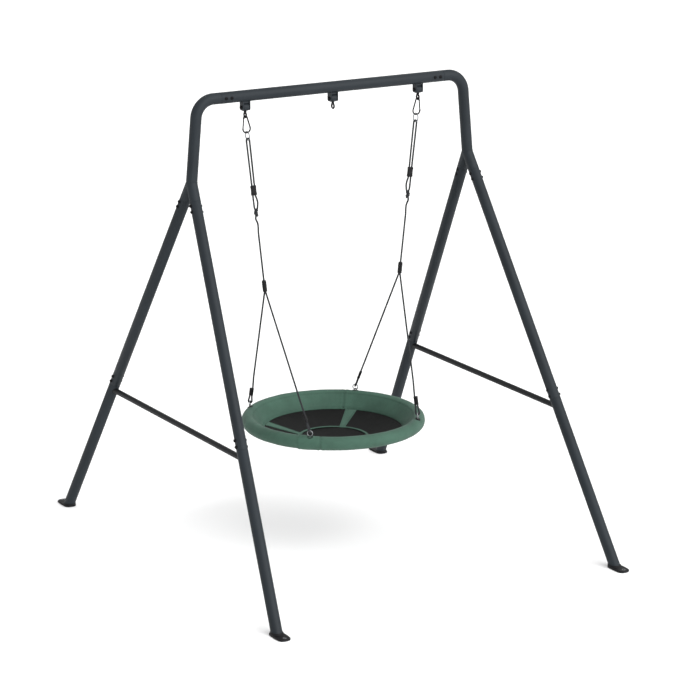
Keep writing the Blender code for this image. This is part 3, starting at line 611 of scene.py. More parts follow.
class LowerEnd:
    """The loop and sleeve at one end of a V: up runs along the rope, and out lies across the loop."""

    def __init__(self, side, end):
        line = Line(side)
        exit_ = line.at(JUNCTION[1], 0, ENDS[end] * V_HALF)
        self.turn = 0.0084
        hang = SEAT_RING_R - SEAT_RING_WIRE - ROPE_R - 0.0018
        self.low = seat_ring_centre(side, end) + Vector((0, 0, hang))
        self.up = (exit_ - self.low).normalized()
        outward = radial(side, end)
        self.out = (outward - outward.dot(self.up) * self.up).normalized()

    def at(self, u, o=0.0):
        return self.low + u * self.up + o * self.out


def seat_ring_centre(side, end):
    return Vector((SIDES[side] * ATTACH, ENDS[end] * ATTACH, SEAT_RING_Z))


def radial(side, end):
    return Vector((SIDES[side], ENDS[end], 0)).normalized()


def v_leg(side, end):
    """One end of the V rope: its tail in the sleeve, the loop through the seat ring, and the way up."""
    near = LowerEnd(side, end)
    half = 0.0044
    tail = [near.at(LOOP_LONG + 0.030, half), near.at(LOOP_LONG, half), near.at(LOOP_LONG - 0.012, 0.0056)]
    loop = arc(near.at(near.turn), near.out, -near.up, near.turn, 0, 180, 16)
    back = [near.at(LOOP_LONG - 0.012, -0.0056), near.at(LOOP_LONG, -half),
            near.at(LOOP_LONG + SLEEVE_LONG + 0.004, -half)]
    return [*tail, *loop, *back, near.at(0.16, -0.0015)]


def lower_rope_route(side):
    line = Line(side)
    fold = arc(line.at(ROPE_JOINT + 0.0006 + ROPE_R + V_HALF), (0, -1, 0), -line.down, V_HALF, 0, 180, 12)
    front, rear = (v_leg(side, end) for end in ENDS)
    near, far = (line.at(JUNCTION[1] + 0.001, 0, ENDS[end] * V_HALF) for end in ENDS)
    return [*front, near, *fold, far, *reversed(rear)]


def evenly(points, step):
    """The same route with a point about every step, so that the braid runs evenly."""
    made = [points[0]]
    for a, b in zip(points, points[1:]):
        count = max(1, round((b - a).length / step))
        made += [a.lerp(b, k / count) for k in range(1, count + 1)]
    return made


def softened(route, rounds):
    """The route with its corners eased, and its ends kept."""
    for _ in range(rounds):
        route = [route[0], *((a + 2 * b + c) / 4 for a, b, c in zip(route, route[1:], route[2:])), route[-1]]
    return route


def rope(name, route, body, node_name, **facts):
    route = softened(evenly(route, 0.003), 3)
    made = piece(name, sweep(new_shape(), route, ROPE_R, 20), "rope", body, [node_name])


def make_knot(side):
    """The knot that ties the tail round the standing rope: four tight turns."""
    line = Line(side)
    half, wraps, thick = 0.0160, 4, 0.0037
    points = []
    for i in range(wraps * 20 + 1):
        a, t = TAU * i / 20, i / (wraps * 20)
        reach = 0.0060 - 0.0018 * abs(2 * t - 1) ** 3
        drift = 0.0016 * math.sin(TAU * 1.3 * t + 0.4)
        points.append(line.at(KNOT_AT + half * (2 * t - 1), drift + reach * math.cos(a), reach * math.sin(a)))
    return piece(f"rope_knot_{side}", sweep(new_shape(), points, thick, 14), "rope", f"bridle_{side}")


def end_shrink(t, long, size):
    """How much a piece with rounded ends is narrowed at the share t of its length."""
    edge = min(t, 1 - t) * long
    return 0.0 if edge > size else size - math.sqrt(max(0.0, size**2 - (size - edge)**2))


def make_adjuster(side):
    """The plastic block that the doubled rope runs through, waisted and ribbed for the fingers."""
    line = Line(side)
    wide, deep = ADJUSTER
    long = ADJUSTER_AT[1] - ADJUSTER_AT[0]
    rows, count = [], 60
    for i in range(count + 1):
        t = i / count
        shrink = end_shrink(t, long, 0.0025)
        rib = 0.0005 * (math.cos(TAU * (t - 0.5) * long / 0.0045) - 1) if 0.24 < t < 0.76 else 0.0
        waist = -0.0006 * math.sin(math.pi * t)
        w, h = wide / 2 - shrink + rib + waist, deep / 2 - shrink + rib
        row = []
        for a in turns(48):
            x, y = (math.copysign(abs(c) ** 0.42, c) for c in (math.cos(a), math.sin(a)))
            row.append(line.at(ADJUSTER_AT[0] + t * long, w * x, h * y))
        rows.append(row)
    piece(f"rope_adjuster_{side}", solid(rows), "black_plastic", f"bridle_{side}", [f"adjuster_{side}"])


def make_junction(side):
    """The moulded sleeve over the joint of the single rope and the V."""
    line = Line(side)
    long = JUNCTION[1] - JUNCTION[0]
    profile = [(0.0044, 0.0), (JUNCTION_R - 0.0024, 0.0), (JUNCTION_R - 0.0012, 0.0010),
               (JUNCTION_R - 0.0004, 0.005)]
    for i in range(5):
        low = 0.009 + 0.0072 * i
        profile += [(JUNCTION_R, low), (JUNCTION_R, low + 0.0040), (JUNCTION_R - 0.0006, low + 0.0048),
                    (JUNCTION_R - 0.0006, low + 0.0064)]
    profile += [(JUNCTION_R, long - 0.005), (JUNCTION_R - 0.0008, long - 0.0010), (JUNCTION_R - 0.0018, long),
                (0.0044, long)]
    shape = lathe(new_shape(), profile, along(line.at(JUNCTION[0]), line.down, line.across), 40)
    piece(f"rope_junction_{side}", shape, "black_plastic", f"bridle_{side}", [f"junction_{side}"])


def make_lower_sleeve(side, end):
    """The flat crimped sleeve that holds the loop: round-ended, with pressed ribs."""
    place = LowerEnd(side, end)
    matrix = along(place.at(LOOP_LONG), place.up, place.out)
    rows, count = [], 44
    for i in range(count + 1):
        t = i / count
        shrink = end_shrink(t, SLEEVE_LONG, 0.0016)
        rib = 0.00035 * (math.cos(TAU * (t - 0.5) * SLEEVE_LONG / 0.0055) - 1) if 0.12 < t < 0.88 else 0.0
        r = SLEEVE_DEEP / 2 - shrink + rib
        flat = SLEEVE_WIDE / 2 - SLEEVE_DEEP / 2
        row = []
        for a in turns(40):
            x = r * math.cos(a) + math.copysign(flat, math.cos(a)) * min(1.0, abs(math.cos(a)) * 3)
            row.append(matrix @ Vector((x, r * math.sin(a), t * SLEEVE_LONG)))
        rows.append(row)
    return piece(f"loop_sleeve_{side}_{end}", solid(rows), "black_plastic", f"bridle_{side}",
                 [f"lower_sleeve_{side}_{end}"])


def make_ropes():
    for side in SIDES:
        line = Line(side)
        body = f"bridle_{side}"
        knot = make_knot(side)
        upper = list(reversed(upper_rope_route(line)))
        rope(f"rope_upper_{side}", upper, body, f"upper_rope_{side}", exit=line.at(ROPE_JOINT),
             length=UPPER_ROPE_LONG, far_end="knot", with_pieces=[knot])
        sleeves = [make_lower_sleeve(side, end) for end in ENDS]
        lower = lower_rope_route(side)
        rope(f"rope_lower_{side}", lower, body, f"lower_rope_{side}", exit=lower[0], length=LOWER_ROPE_LONG,
             far_end="object", with_pieces=sleeves)
        make_adjuster(side)
        make_junction(side)


# ---------------------------------------------------------------- stand

ROUND = turns(64)


def plane_x(side, z):
    """How far out an A-frame's plane is at a height."""
    return SIDES[side] * (CORNER_X + SPLAY * (BEAM_Z - z))


def fork_point(side):
    return Vector((plane_x(side, FORK_Z), 0, FORK_Z))


def leg_direction(side, end):
    return (Vector((plane_x(side, 0), ENDS[end] * FOOT_Y, 0)) - fork_point(side)).normalized()


def leg_point(side, end, distance):
    return fork_point(side) + distance * leg_direction(side, end)


def frame_normal(side):
    """The unit vector out of an A-frame's plane, away from the swing."""
    return Vector((SIDES[side], 0, SPLAY)).normalized()


def leg_skin(side, end, distance, radius, angle):
    """A point on a round line about a leg."""
    way, out = leg_direction(side, end), frame_normal(side)
    round_the_leg = math.cos(angle) * out + math.sin(angle) * out.cross(way)
    return leg_point(side, end, distance) + radius * round_the_leg


def level_row(side, end, radius, z):
    """Where that round skin meets a level plane."""
    way = leg_direction(side, end)
    points = [leg_skin(side, end, 1.5, radius, a) for a in ROUND]
    return [p + (z - p.z) / way.z * way for p in points]


def tube(name, start, end, radius, wall, material, stands_for):
    """A round tube with softened ends."""
    long = (end - start).length
    inner = radius - wall
    outer = [(radius - EDGE, 0), (radius - 0.3 * EDGE, 0.3 * EDGE), (radius, EDGE)]
    far_end = [(r, long - z) for r, z in reversed(outer)]
    profile = [(inner, 0), *outer, (radius, long / 2), *far_end, (inner, long)]
    shape = lathe(new_shape(), profile, along(start, end - start), 64)
    return piece(name, shape, material, "frame", stands_for)


def make_beam():
    tube("stand_top_beam", Vector((-BEAM_END, 0, BEAM_Z)), Vector((BEAM_END, 0, BEAM_Z)), TUBE_R, TUBE_WALL,
         "frame_coat", ["top_beam"])
    for side, s in SIDES.items():
        shape = new_shape()
        for x in BEAM_BOLTS:
            bolt(shape, Vector((s * x, 0, BEAM_Z)), Vector((0, -1, 0)))
        piece(f"beam_bolts_{side}", shape, "black_steel", "frame")


def corner_route(side):
    """The bent tube's centreline, from the beam's end round the bend to the fork."""
    s = SIDES[side]
    down = Vector((s * SPLAY, 0, -1)).normalized()
    turn = math.degrees(math.acos(down.x * s))
    tangent = BEND_R * math.tan(math.radians(turn) / 2)
    first = Vector((s * (BEAM_END + GAP), 0, BEAM_Z))
    inward = Vector((s, 0, 0))
    centre = Vector((s * (CORNER_X - tangent), 0, BEAM_Z - BEND_R))
    bend = arc(centre, (s, 0, 0), (0, 0, 1), BEND_R, 90, 90 - turn, 28)
    return [first, first + EDGE * inward, *bend]


def mitre_reach(ways, which, angle, normal):
    """How far along tube `which` a line on its skin starts, where three tubes of one size meet in mitres. It
    also says which other tube the line meets there."""
    way = ways[which]
    side_way = normal.cross(way)
    reaches = [(TUBE_R * math.sin(angle) * side_way.dot(other) / (1 - way.dot(other)), i)
               for i, other in enumerate(ways) if i != which]
    return max(reaches)


def make_corner(side):
    """The bent corner and its welded fork, three tubes mitred into one, with weld beads over the seams."""
    normal = frame_normal(side)
    fork = fork_point(side)
    route = corner_route(side)
    ways = [(route[-1] - fork).normalized(), leg_direction(side, "front"), leg_direction(side, "rear")]
    shape = new_shape()
    seams = {}

    def skin_point(way, angle, distance):
        round_it = math.cos(angle) * normal + math.sin(angle) * normal.cross(way)
        return fork + distance * way + TUBE_R * round_it

    for which, way in enumerate(ways):
        cut_row = []
        for a in ROUND:
            reach, other = mitre_reach(ways, which, a, normal)
            cut_row.append(skin_point(way, a, reach))
            seams.setdefault((which, other), []).append((a, cut_row[-1]))
        if which == 0:
            rows = []
            for i, (point, (x, y)) in enumerate(zip(route, frames_along(route, False, (0, 0, 1)))):
                r = TUBE_R - EDGE if i == 0 else TUBE_R
                rows.append([point + r * (math.cos(a) * x + math.sin(a) * y) for a in ROUND])
            skin_over(shape, [*rows, cut_row], caps=False)
            shape.faces.new([shape.verts.new(p) for p in rows[0]])
        else:
            end = LEG_START - GAP
            rows = [[skin_point(way, a, end - EDGE) for a in ROUND]]
            tip = [fork + end * way + (p - fork - (end - EDGE) * way) * (1 - EDGE / TUBE_R) for p in rows[0]]
            skin_over(shape, [cut_row, *rows, tip], caps=False)
            shape.faces.new([shape.verts.new(p) for p in tip])
    bmesh.ops.remove_doubles(shape, verts=shape.verts, dist=0.00002)
    for pair in ((0, 1), (0, 2), (1, 2)):
        points = [p for _, p in sorted(seams[pair], key=lambda each: each[0])]
        ends = [fork + TUBE_R * normal, fork - TUBE_R * normal]
        if (points[0] - ends[0]).length > (points[-1] - ends[0]).length:
            ends.reverse()
        bead = evenly([ends[0], *points, ends[1]], 0.0011)
        sweep(shape, bead, lambda far: 0.0019 + 0.00022 * math.sin(TAU * far / 0.0042), 10)
    piece(f"stand_corner_{side}", shape, "frame_coat", "frame", [f"corner_{side}"], angle=28)


def bolt(shape, place, direction):
    """A bolt through a tube: a domed head and washer on one side, a washer, nut and thread on the other."""
    head = along(place, direction)
    nut = along(place, -direction)
    seat = TUBE_R - 0.0012
    dome = [(0.0, seat), (0.0076, seat), (0.0076, TUBE_R + 0.0012), (0.0072, TUBE_R + 0.0022),
            (0.0060, TUBE_R + 0.0034), (0.0042, TUBE_R + 0.0043), (0.0030, TUBE_R + 0.0046),
            (0.0026, TUBE_R + 0.0044), (0.0024, TUBE_R + 0.0026), (0.0, TUBE_R + 0.0024)]
    lathe(shape, dome, head, 28, closed=False)
    washer = [(0.0, seat), (0.0084, seat), (0.0084, TUBE_R + 0.0004), (0.0080, TUBE_R + 0.0008),
              (0.0, TUBE_R + 0.0008)]
    lathe(shape, washer, nut, 28, closed=False)
    low, high = TUBE_R + 0.0008, TUBE_R + 0.0050
    for flat in (0, 1):
        reach = [(0.0, low), (0.0066 + 0.0006 * flat, low), (0.0066 + 0.0006 * flat, high - 0.0008 * flat),
                 (0.0058, high), (0.0, high)]
        lathe(shape, reach, nut, 6 if flat else 24, closed=False)
    thread = [(0.0, high - 0.001)]
    for i in range(4):
        z = high + 0.0006 * i
        thread += [(0.0037, z), (0.0040, z + 0.0003)]
    thread += [(0.0034, high + 0.0026), (0.0, high + 0.0026)]
    lathe(shape, thread, nut, 20, closed=False)


def make_legs():
    for side, end in CORNERS:
        name = f"{side}_{end}"
        top, split = (leg_point(side, end, d) for d in (LEG_START, LEG_SPLIT - GAP))
        tube(f"stand_upper_leg_{name}", top, split, TUBE_R, TUBE_WALL, "frame_coat", [f"upper_leg_{name}"])
        rows = [[leg_skin(side, end, LEG_SPLIT + d, r, a) for a in ROUND]
                for d, r in ((0, TUBE_R - EDGE), (0.3 * EDGE, TUBE_R - 0.3 * EDGE), (EDGE, TUBE_R))]
        shape = solid([*rows, level_row(side, end, TUBE_R, TUBE_END_Z)])
        piece(f"stand_lower_leg_{name}", shape, "frame_coat", "frame", [f"lower_leg_{name}"])
        for joint, places in (("fork", FORK_BOLTS), ("leg", LEG_BOLTS)):
            shape = new_shape()
            for d in places:
                bolt(shape, leg_point(side, end, d), -frame_normal(side))
            piece(f"{joint}_bolt_set_{name}", shape, "black_steel", "frame", [f"{joint}_bolts_{name}"])


def meets_tube(start, way, through, axis, radius):
    """Where a line from start first meets a round tube's skin, coming from outside."""
    flat_start = (start - through) - (start - through).dot(axis) * axis
    flat_way = way - way.dot(axis) * axis
    a, b = flat_way.length_squared, 2 * flat_start.dot(flat_way)
    c = flat_start.length_squared - radius**2
    return start + (-b - math.sqrt(b * b - 4 * a * c)) / (2 * a) * way


def make_cross_bars():
    """The thin bars between the legs, their ends shaped to the legs and welded all round."""
    for side in SIDES:
        x = plane_x(side, BAR_Z)
        shape = new_shape()
        ends = []
        for end, t in ENDS.items():
            way = Vector((0, t, 0))
            for r in (BAR_R, BAR_R - BAR_WALL):
                ends.append([meets_tube(Vector((x + r * math.cos(a), 0, BAR_Z + r * math.sin(a))), way,
                                        leg_point(side, end, 1.2), leg_direction(side, end), TUBE_R - 0.0006)
                             for a in turns(40)])
        front, front_inner, rear, rear_inner = ends
        skin_over(shape, [front, rear, rear_inner, front_inner], closed_rows=True)
        for row in (front, rear):
            ring_of = evenly([*row, row[0]], 0.0012)[:-1]
            sweep(shape, ring_of, lambda far: 0.0016 + 0.0002 * math.sin(TAU * far / 0.0038), 8, closed=True)
        piece(f"stand_cross_bar_{side}", shape, "bar_coat", "frame", [f"cross_bar_{side}"])


def oval_row(half_wide, half_long, r, z, count=96):
    """A row round a long outline with corners of radius r, about its own middle."""
    row = []
    for a in turns(count):
        x = (half_wide - r) * max(-1, min(1, 2.2 * math.cos(a))) + r * math.cos(a)
        y = (half_long - r) * max(-1, min(1, 2.2 * math.sin(a))) + r * math.sin(a)
        row.append(Vector((x, y, z)))
    return row


def make_feet():
    """Shoes on the legs' ends: an oval plate with a soft edge, a low lip round the leg, and a peg hole."""
    plate = ((0.0012, 0.0), (0.0, 0.0012), (0.0, 0.0060), (0.0007, 0.0080), (0.0022, 0.0094),
             (0.0045, FOOT_THICK))
    lip = ((0.0024, 0.0), (0.0034, 0.0012), (0.0034, 0.0128), (0.0026, 0.0148), (0.0006, LIP_HIGH))
    eyelet = rounded([(PEG_HOLE_R, 0.0085), (0.0082, 0.0085), (0.0082, 0.0108), (PEG_HOLE_R, 0.0108)], 0.0005)
    for side, end in CORNERS:
        centre = Vector((plane_x(side, 0), ENDS[end] * (FOOT_Y + FOOT_SHIFT), 0))
        shape = solid([[centre + p for p in oval_row(FOOT_WIDE / 2 - inset, FOOT_LONG / 2 - inset,
                                                     0.028 - inset, z)] for inset, z in plate])
        skin_over(shape, [level_row(side, end, TUBE_R + wide, z) for wide, z in lip])
        peg = centre + Vector((0, ENDS[end] * PEG_Y, 0))
        hole = cutter(peg - Vector((0, 0, 0.01)), peg + Vector((0, 0, 0.03)), PEG_HOLE_R)
        mesh = fused(shape, 0.0013, 5, [hole])
        for vertex in mesh.vertices:
            vertex.co.z = max(0.0, vertex.co.z)
        finished(f"stand_foot_{side}_{end}", mesh, "black_plastic", "frame", [f"foot_{side}_{end}"])
        shape = lathe(new_shape(), eyelet, Matrix.Translation(peg), 32)
        piece(f"peg_eyelet_{side}_{end}", shape, "zinc_steel", "frame")


# ---------------------------------------------------------------- hangers

def bracket_outline(deep):
    """The cheek seen along the beam, as (y, z): the saddle under the beam and two rounded lower corners."""
    saddle, corner_r = TUBE_R + GAP, 0.009
    reach = math.degrees(math.asin(deep / 2 / saddle))
    outline = [(saddle * math.sin(math.radians(a)), BEAM_Z - saddle * math.cos(math.radians(a)))
               for a in (reach - 2 * reach * i / SADDLE_STEPS for i in range(SADDLE_STEPS + 1))]
    for side_y, start in ((-1, -180), (1, -90)):
        y, z = side_y * (deep / 2 - corner_r), BRACKET_LOW + corner_r
        outline += [(y + corner_r * math.cos(math.radians(a)), z + corner_r * math.sin(math.radians(a)))
                    for a in (start + 90 * i / 8 for i in range(9))]
    return outline


def make_bracket(name, x):
    """A saddle bracket: two cheeks and a web under a top that fits the beam, and the bolt through it."""
    wide, deep = BRACKET
    outline = bracket_outline(deep)
    over_hub, web_half = PIN_Z + 0.0185, 0.0105
    web = [(y, z) for y, z in outline[:SADDLE_STEPS + 1] if abs(y) < web_half]
    web += [(-web_half, over_hub), (web_half, over_hub)]
    shape = bmesh.new()
    for low, high, here in ((-wide / 2, -SLOT_X, outline), (SLOT_X, wide / 2, outline),
                            (-wide / 2, wide / 2, web)):
        other = bmesh.new()
        near, far = ([other.verts.new((x + at, y, z)) for y, z in here] for at in (low, high))
        other.faces.new(near)
        other.faces.new(list(reversed(far)))
        for k in range(len(near)):
            n = (k + 1) % len(near)
            other.faces.new((near[n], near[k], far[k], far[n]))
        bmesh.ops.remove_doubles(other, verts=other.verts, dist=0.00001)
        bmesh.ops.dissolve_degenerate(other, edges=other.edges, dist=0.00001)
        part = mesh_of("part", other)
        shape.from_mesh(part)
        bpy.data.meshes.remove(part)
    mesh = fused(shape, 0.0008, 4)
    finished(f"hanger_saddle_{name}", mesh, "frame_coat", "frame", [f"bracket_{name}"])

    shape, out = new_shape(), wide / 2
    head, nut = along((x, 0, PIN_Z), (1, 0, 0)), along((x, 0, PIN_Z), (-1, 0, 0))
    for place, steps, profile in (
            (head, 32, [(0.0, out), (0.0086, out), (0.0086, out + 0.0012), (0.0078, out + 0.0014),
                        (0.0078, out + 0.0036), (0.0070, out + 0.0043), (0.0034, out + 0.0043),
                        (0.0034, out + 0.0020), (0.0, out + 0.0020)]),
            (head, 24, [(0.0, -out), (0.0049, -out), (0.0049, out), (0.0, out)]),
            (nut, 32, [(0.0, out), (0.0084, out), (0.0084, out + 0.0010), (0.0, out + 0.0010)]),
            (nut, 6, [(0.0, out + 0.001), (0.0082, out + 0.001), (0.0082, out + 0.0052),
                      (0.0072, out + 0.0060), (0.0, out + 0.0060)]),
            (nut, 20, [(0.0, out + 0.005), (0.0046, out + 0.005), (0.0046, out + 0.0068),
                       (0.0040, out + 0.0074), (0.0, out + 0.0074)])):
        lathe(shape, profile, place, steps, closed=False)
    piece(f"hanger_bolt_{name}", shape, "black_steel", "frame", [f"hanger_pin_{name}"])


def make_eye(name, x):
    """The forged eye that swings on the pin: a round hub, a short neck and a ring of round wire."""
    half = SLOT_X - 0.0008
    body = "spare_hanger" if name == "spare" else "swing"
    hub = rounded([(0.0055, -half), (HUB_R, -half), (HUB_R, half), (0.0055, half)], 0.0026, 5)
    hub = lathe(new_shape(), hub, along((x, 0, PIN_Z), (1, 0, 0)), 48)
    piece(f"hanger_hub_{name}", hub, "frame_coat", body)
    shape = new_shape()
    neck = [Vector((x, 0, z)) for z in (PIN_Z - 0.0125, PIN_Z - 0.020, EYE_Z + EYE_R)]
    sweep(shape, neck, lambda far: 0.0072 - 0.10 * far, 24)
    rows = []
    for a in turns(48):
        way = Vector((0, math.cos(a), math.sin(a)))
        outer = Vector((x, 0, EYE_Z)) + (EYE_R + EYE_WIRE) * way
        inner = Vector((x, 0, EYE_HOLE_Z)) + EYE_HOLE_R * way
        rows.append([(outer + inner) / 2 + math.cos(b) * (outer - inner) / 2
                     + math.sin(b) * Vector((EYE_WIRE, 0, 0)) for b in turns(16)])
    skin_over(shape, rows, closed_rows=True)
    finished(f"hanger_eye_{name}", fused(shape, 0.0006, 5), "black_steel", body, [f"eye_{name}"])


def make_hook(side):
    """A pear-shaped snap hook with its sprung gate, hinge pin and notched nose."""
    line = Line(side)
    span = HOOK_LONG - HOOK_TOP_R - HOOK_LOW_R
    taper = math.degrees(math.asin((HOOK_LOW_R - HOOK_TOP_R) / span))
    top, low, out = line.at(HOOK_TOP_R), line.at(HOOK_TOP_R + span), -line.across
    high_end, low_end = (arc(c, out, line.down, r, -taper, -taper, 1)[0]
                         for c, r in ((top, HOOK_TOP_R), (low, HOOK_LOW_R)))
    way = (low_end - high_end).normalized()
    pivot, tip = high_end + 0.004 * way, low_end - 0.001 * way
    upper = arc(top, out, line.down, HOOK_TOP_R, -taper, -180 + taper, 24)
    lower = arc(low, out, line.down, HOOK_LOW_R, 180 + taper, -taper, 40)
    y = Vector((0, 1, 0))
    body = new_shape()
    sweep(body, evenly([pivot - 0.0026 * way, *upper, *lower], 0.0016), HOOK_WIRE, 24, across=y)
    nose = lower[-1]
    sweep(body, [nose - 0.0012 * way, nose - 0.0008 * way, nose + 0.0030 * way, nose + 0.0036 * way],
          lambda far: HOOK_WIRE + (0.0007 if 0.0003 < far < 0.0046 else 0.0002), 24)
    pin = [(0.0, -0.0042), (0.0021, -0.0042), (0.0026, -0.0037), (0.0026, 0.0037), (0.0021, 0.0042),
           (0.0, 0.0042)]
    lathe(body, pin, along(pivot - 0.0010 * way, y), 20, closed=False)
    piece(f"snap_hook_{side}", body, "black_steel", f"bridle_{side}", [f"hook_{side}"])
    gate = new_shape()
    long = (tip - pivot).length - 0.0008
    start = pivot - 0.0004 * way
    sweep(gate, [start + f * long * way for f in (0.0, 0.02, 0.06, 0.5, 0.84, 0.86, 0.97, 1.0)],
          lambda far: HOOK_WIRE - (0.0009 if far < 0.02 * long or far > 0.99 * long else 0.0004), 24)
    piece(f"snap_gate_{side}", gate, "black_steel", f"gate_{side}", [f"gate_{side}"])


def steel_ring(name, body, node_name, centre, normal, wire, radius, weld_way, swell, swollen):
    """A ring of wire with its weld, which is swollen between two distances along it."""
    first, second = weld_way
    shape = ring(new_shape(), centre, normal, radius, wire)
    weld = [centre + radius * (math.cos(a) * first + math.sin(a) * second)
            for a in (math.radians(d) for d in (-5, -3, 0, 3, 5))]
    sweep(shape, weld, lambda far: wire * (swell if swollen[0] < far < swollen[1] else 1.0), 20)
    piece(name, shape, "zinc_steel", body, [node_name])


def make_rings():
    for side in SIDES:
        line = Line(side)
        centre = line.at(HOOK_LONG - HOOK_WIRE - GAP + RING_R - RING_WIRE)
        steel_ring(f"steel_ring_top_{side}", f"bridle_{side}", f"top_ring_{side}", centre, line.across,
                   RING_WIRE, RING_R, (Vector((0, 1, 0)), line.down), 1.14, (0.0005, 0.0022))
        for end in ENDS:
            centre, out = seat_ring_centre(side, end), radial(side, end)
            steel_ring(f"steel_ring_seat_{side}_{end}", "seat", f"seat_ring_{side}_{end}", centre, out,
                       SEAT_RING_WIRE, SEAT_RING_R, (out.cross(UP), UP), 1.15, (0.0004, 0.0018))


# ---------------------------------------------------------------- seat

def rim_point(angle, turn, reach=RIM_R):
    """A point by its place round the rim's section and its turn about the seat's middle."""
    return polar(RIM_RADIUS + reach * math.cos(angle), turn, RIM_Z + reach * math.sin(angle))


SLOPE_STEPS, RIM_STEPS = 14, 76


def cover_section():
    """The cover's section from the base's edge, up the slope and round the rim, as (radius, height)."""
    away = math.hypot(BASE_RADIUS - RIM_RADIUS, BASE_EDGE_Z - RIM_Z)
    towards = math.atan2(BASE_EDGE_Z - RIM_Z, BASE_RADIUS - RIM_RADIUS) % TAU
    leave = towards - math.acos(RIM_R / away)
    start = (RIM_RADIUS + RIM_R * math.cos(leave), RIM_Z + RIM_R * math.sin(leave))
    points = [(BASE_RADIUS + (start[0] - BASE_RADIUS) * i / SLOPE_STEPS,
               BASE_EDGE_Z + (start[1] - BASE_EDGE_Z) * i / SLOPE_STEPS) for i in range(SLOPE_STEPS)]
    for i in range(RIM_STEPS + 1):
        a = leave - math.radians(338) * i / RIM_STEPS
        points.append((RIM_RADIUS + RIM_R * math.cos(a), RIM_Z + RIM_R * math.sin(a)))
    return points


SECTION = cover_section()
SECTION_AT = list(accumulate(map(math.dist, SECTION, SECTION[1:]), initial=0.0))
SLOPE_LONG = SECTION_AT[SLOPE_STEPS]


def section_normal(i):
    a, b = SECTION[max(i - 1, 0)], SECTION[min(i + 1, len(SECTION) - 1)]
    dr, dz = b[0] - a[0], b[1] - a[1]
    size = math.hypot(dr, dz)
    return -dz / size, dr / size


def turn_gap(a, b):
    return (a - b + math.pi) % TAU - math.pi


def hump(x, width):
    return math.exp(-(x / width) ** 2)


def cover_lift(turn, s, r):
    """How far the cloth stands out from its even shape: seams draw it in, and it puckers beside them."""
    lift = 0.0007 * noise.noise(Vector((math.cos(turn) * 7, math.sin(turn) * 7, s * 14)))
    lift += 0.0004 * noise.noise(Vector((math.cos(turn) * 22, math.sin(turn) * 22, s * 30 + 5)))
    for seam in SEAMS[:2]:
        gap = turn_gap(turn, seam) * r
        lift -= 0.0022 * hump(gap, 0.0032)
        lift += 0.0009 * (hump(gap - 0.010, 0.006) + hump(gap + 0.010, 0.006))
        lift += 0.0005 * math.sin(TAU * s / 0.017 + 0.6) * math.exp(-abs(gap) / 0.022)
    gap = turn_gap(turn, SEAMS[2]) * r
    if -0.01 < gap < 0.085:
        lift += 0.0011 * (1 + math.tanh(gap / 0.0020)) * min(1.0, (0.085 - gap) / 0.05)
    hem = s - 0.010
    lift -= 0.0009 * hump(hem, 0.0022)
    lift += 0.0006 * math.sin(TAU * turn * r / 0.019 + 2 * math.sin(3 * turn)) * math.exp(-abs(hem) / 0.012)
    top_seam = s - SLOPE_LONG
    lift -= 0.0009 * hump(top_seam, 0.0024)
    lift += 0.0004 * math.sin(TAU * turn * r / 0.023 + 1.3) * math.exp(-abs(top_seam) / 0.012)
    return lift


def cover_point(turn, s, extra=0.0):
    """A point on the cover at a turn about the seat and a distance along its section."""
    i = min(range(len(SECTION) - 1), key=lambda k: abs(SECTION_AT[k] - s))
    if SECTION_AT[i] > s and i:
        i -= 1
    t = (s - SECTION_AT[i]) / (SECTION_AT[i + 1] - SECTION_AT[i])
    r = SECTION[i][0] + t * (SECTION[i + 1][0] - SECTION[i][0])
    z = SECTION[i][1] + t * (SECTION[i + 1][1] - SECTION[i][1])
    nr, nz = section_normal(i)
    out = cover_lift(turn, s, r) + extra
    return polar(r + out * nr, turn, z + out * nz)


def make_cover():
    steps = 432
    rows = []
    for i, ((r, z), s) in enumerate(zip(SECTION, SECTION_AT)):
        nr, nz = section_normal(i)
        lifts = [(turn, cover_lift(turn, s, r) - 0.0004) for turn in turns(steps)]
        rows.append([polar(r + lift * nr, turn, z + lift * nz) for turn, lift in lifts])
    shape = new_shape()
    round_ = [RIM_RADIUS * TAU * k / steps for k in range(steps + 1)]
    skin_over(shape, rows, caps=False, lengths=(SECTION_AT + [0.0], round_))
    made = piece("seat_cover_cloth", shape, "green_fabric", "seat", ["seat_cover"], angle=80)
    thickened(made, 0.0008)


def stitch_row(shape, points, long=0.0032, gap=0.0016, thick=0.00042):
    """Stitches laid along a route, each one a short rounded thread."""
    at = 0.0
    done = list(accumulate(((b - a).length for a, b in zip(points, points[1:])), initial=0.0))

    def place(d):
        i = min(max(k for k in range(len(done)) if done[k] <= d), len(points) - 2)
        return points[i].lerp(points[i + 1], (d - done[i]) / max(1e-9, done[i + 1] - done[i]))

    while at + long < done[-1]:
        a, b, c = place(at), place(at + long / 2), place(at + long)
        sweep(shape, [a, a.lerp(b, 0.35), b, b.lerp(c, 0.65), c],
              lambda far: thick * (0.45 if far < 0.0003 or far > long - 0.0004 else 1.0), 6)
        at += long + gap


def make_cover_stitches():
    shape, off = new_shape(), 0.0002
    for seam in SEAMS[:2]:
        for shift in (-0.0035, 0.0035):
            turn = seam + shift / (BASE_RADIUS + 0.05)
            route = [0.004 + (SLOPE_LONG + 0.105 - 0.004) * i / 69 for i in range(70)]
            stitch_row(shape, [cover_point(turn, s, off) for s in route])
    turn = SEAMS[2] + 0.006 / RIM_RADIUS
    stitch_row(shape, [cover_point(turn, 0.004 + (SLOPE_LONG + 0.13) * i / 80, off) for i in range(80)])
    for s in (0.0065, 0.0125, SLOPE_LONG + 0.004):
        stitch_row(shape, [cover_point(TAU * i / 360, s, off) for i in range(361)], 0.0034, 0.0020)
    piece("seat_cover_stitches", shape, "thread", "seat", angle=60)


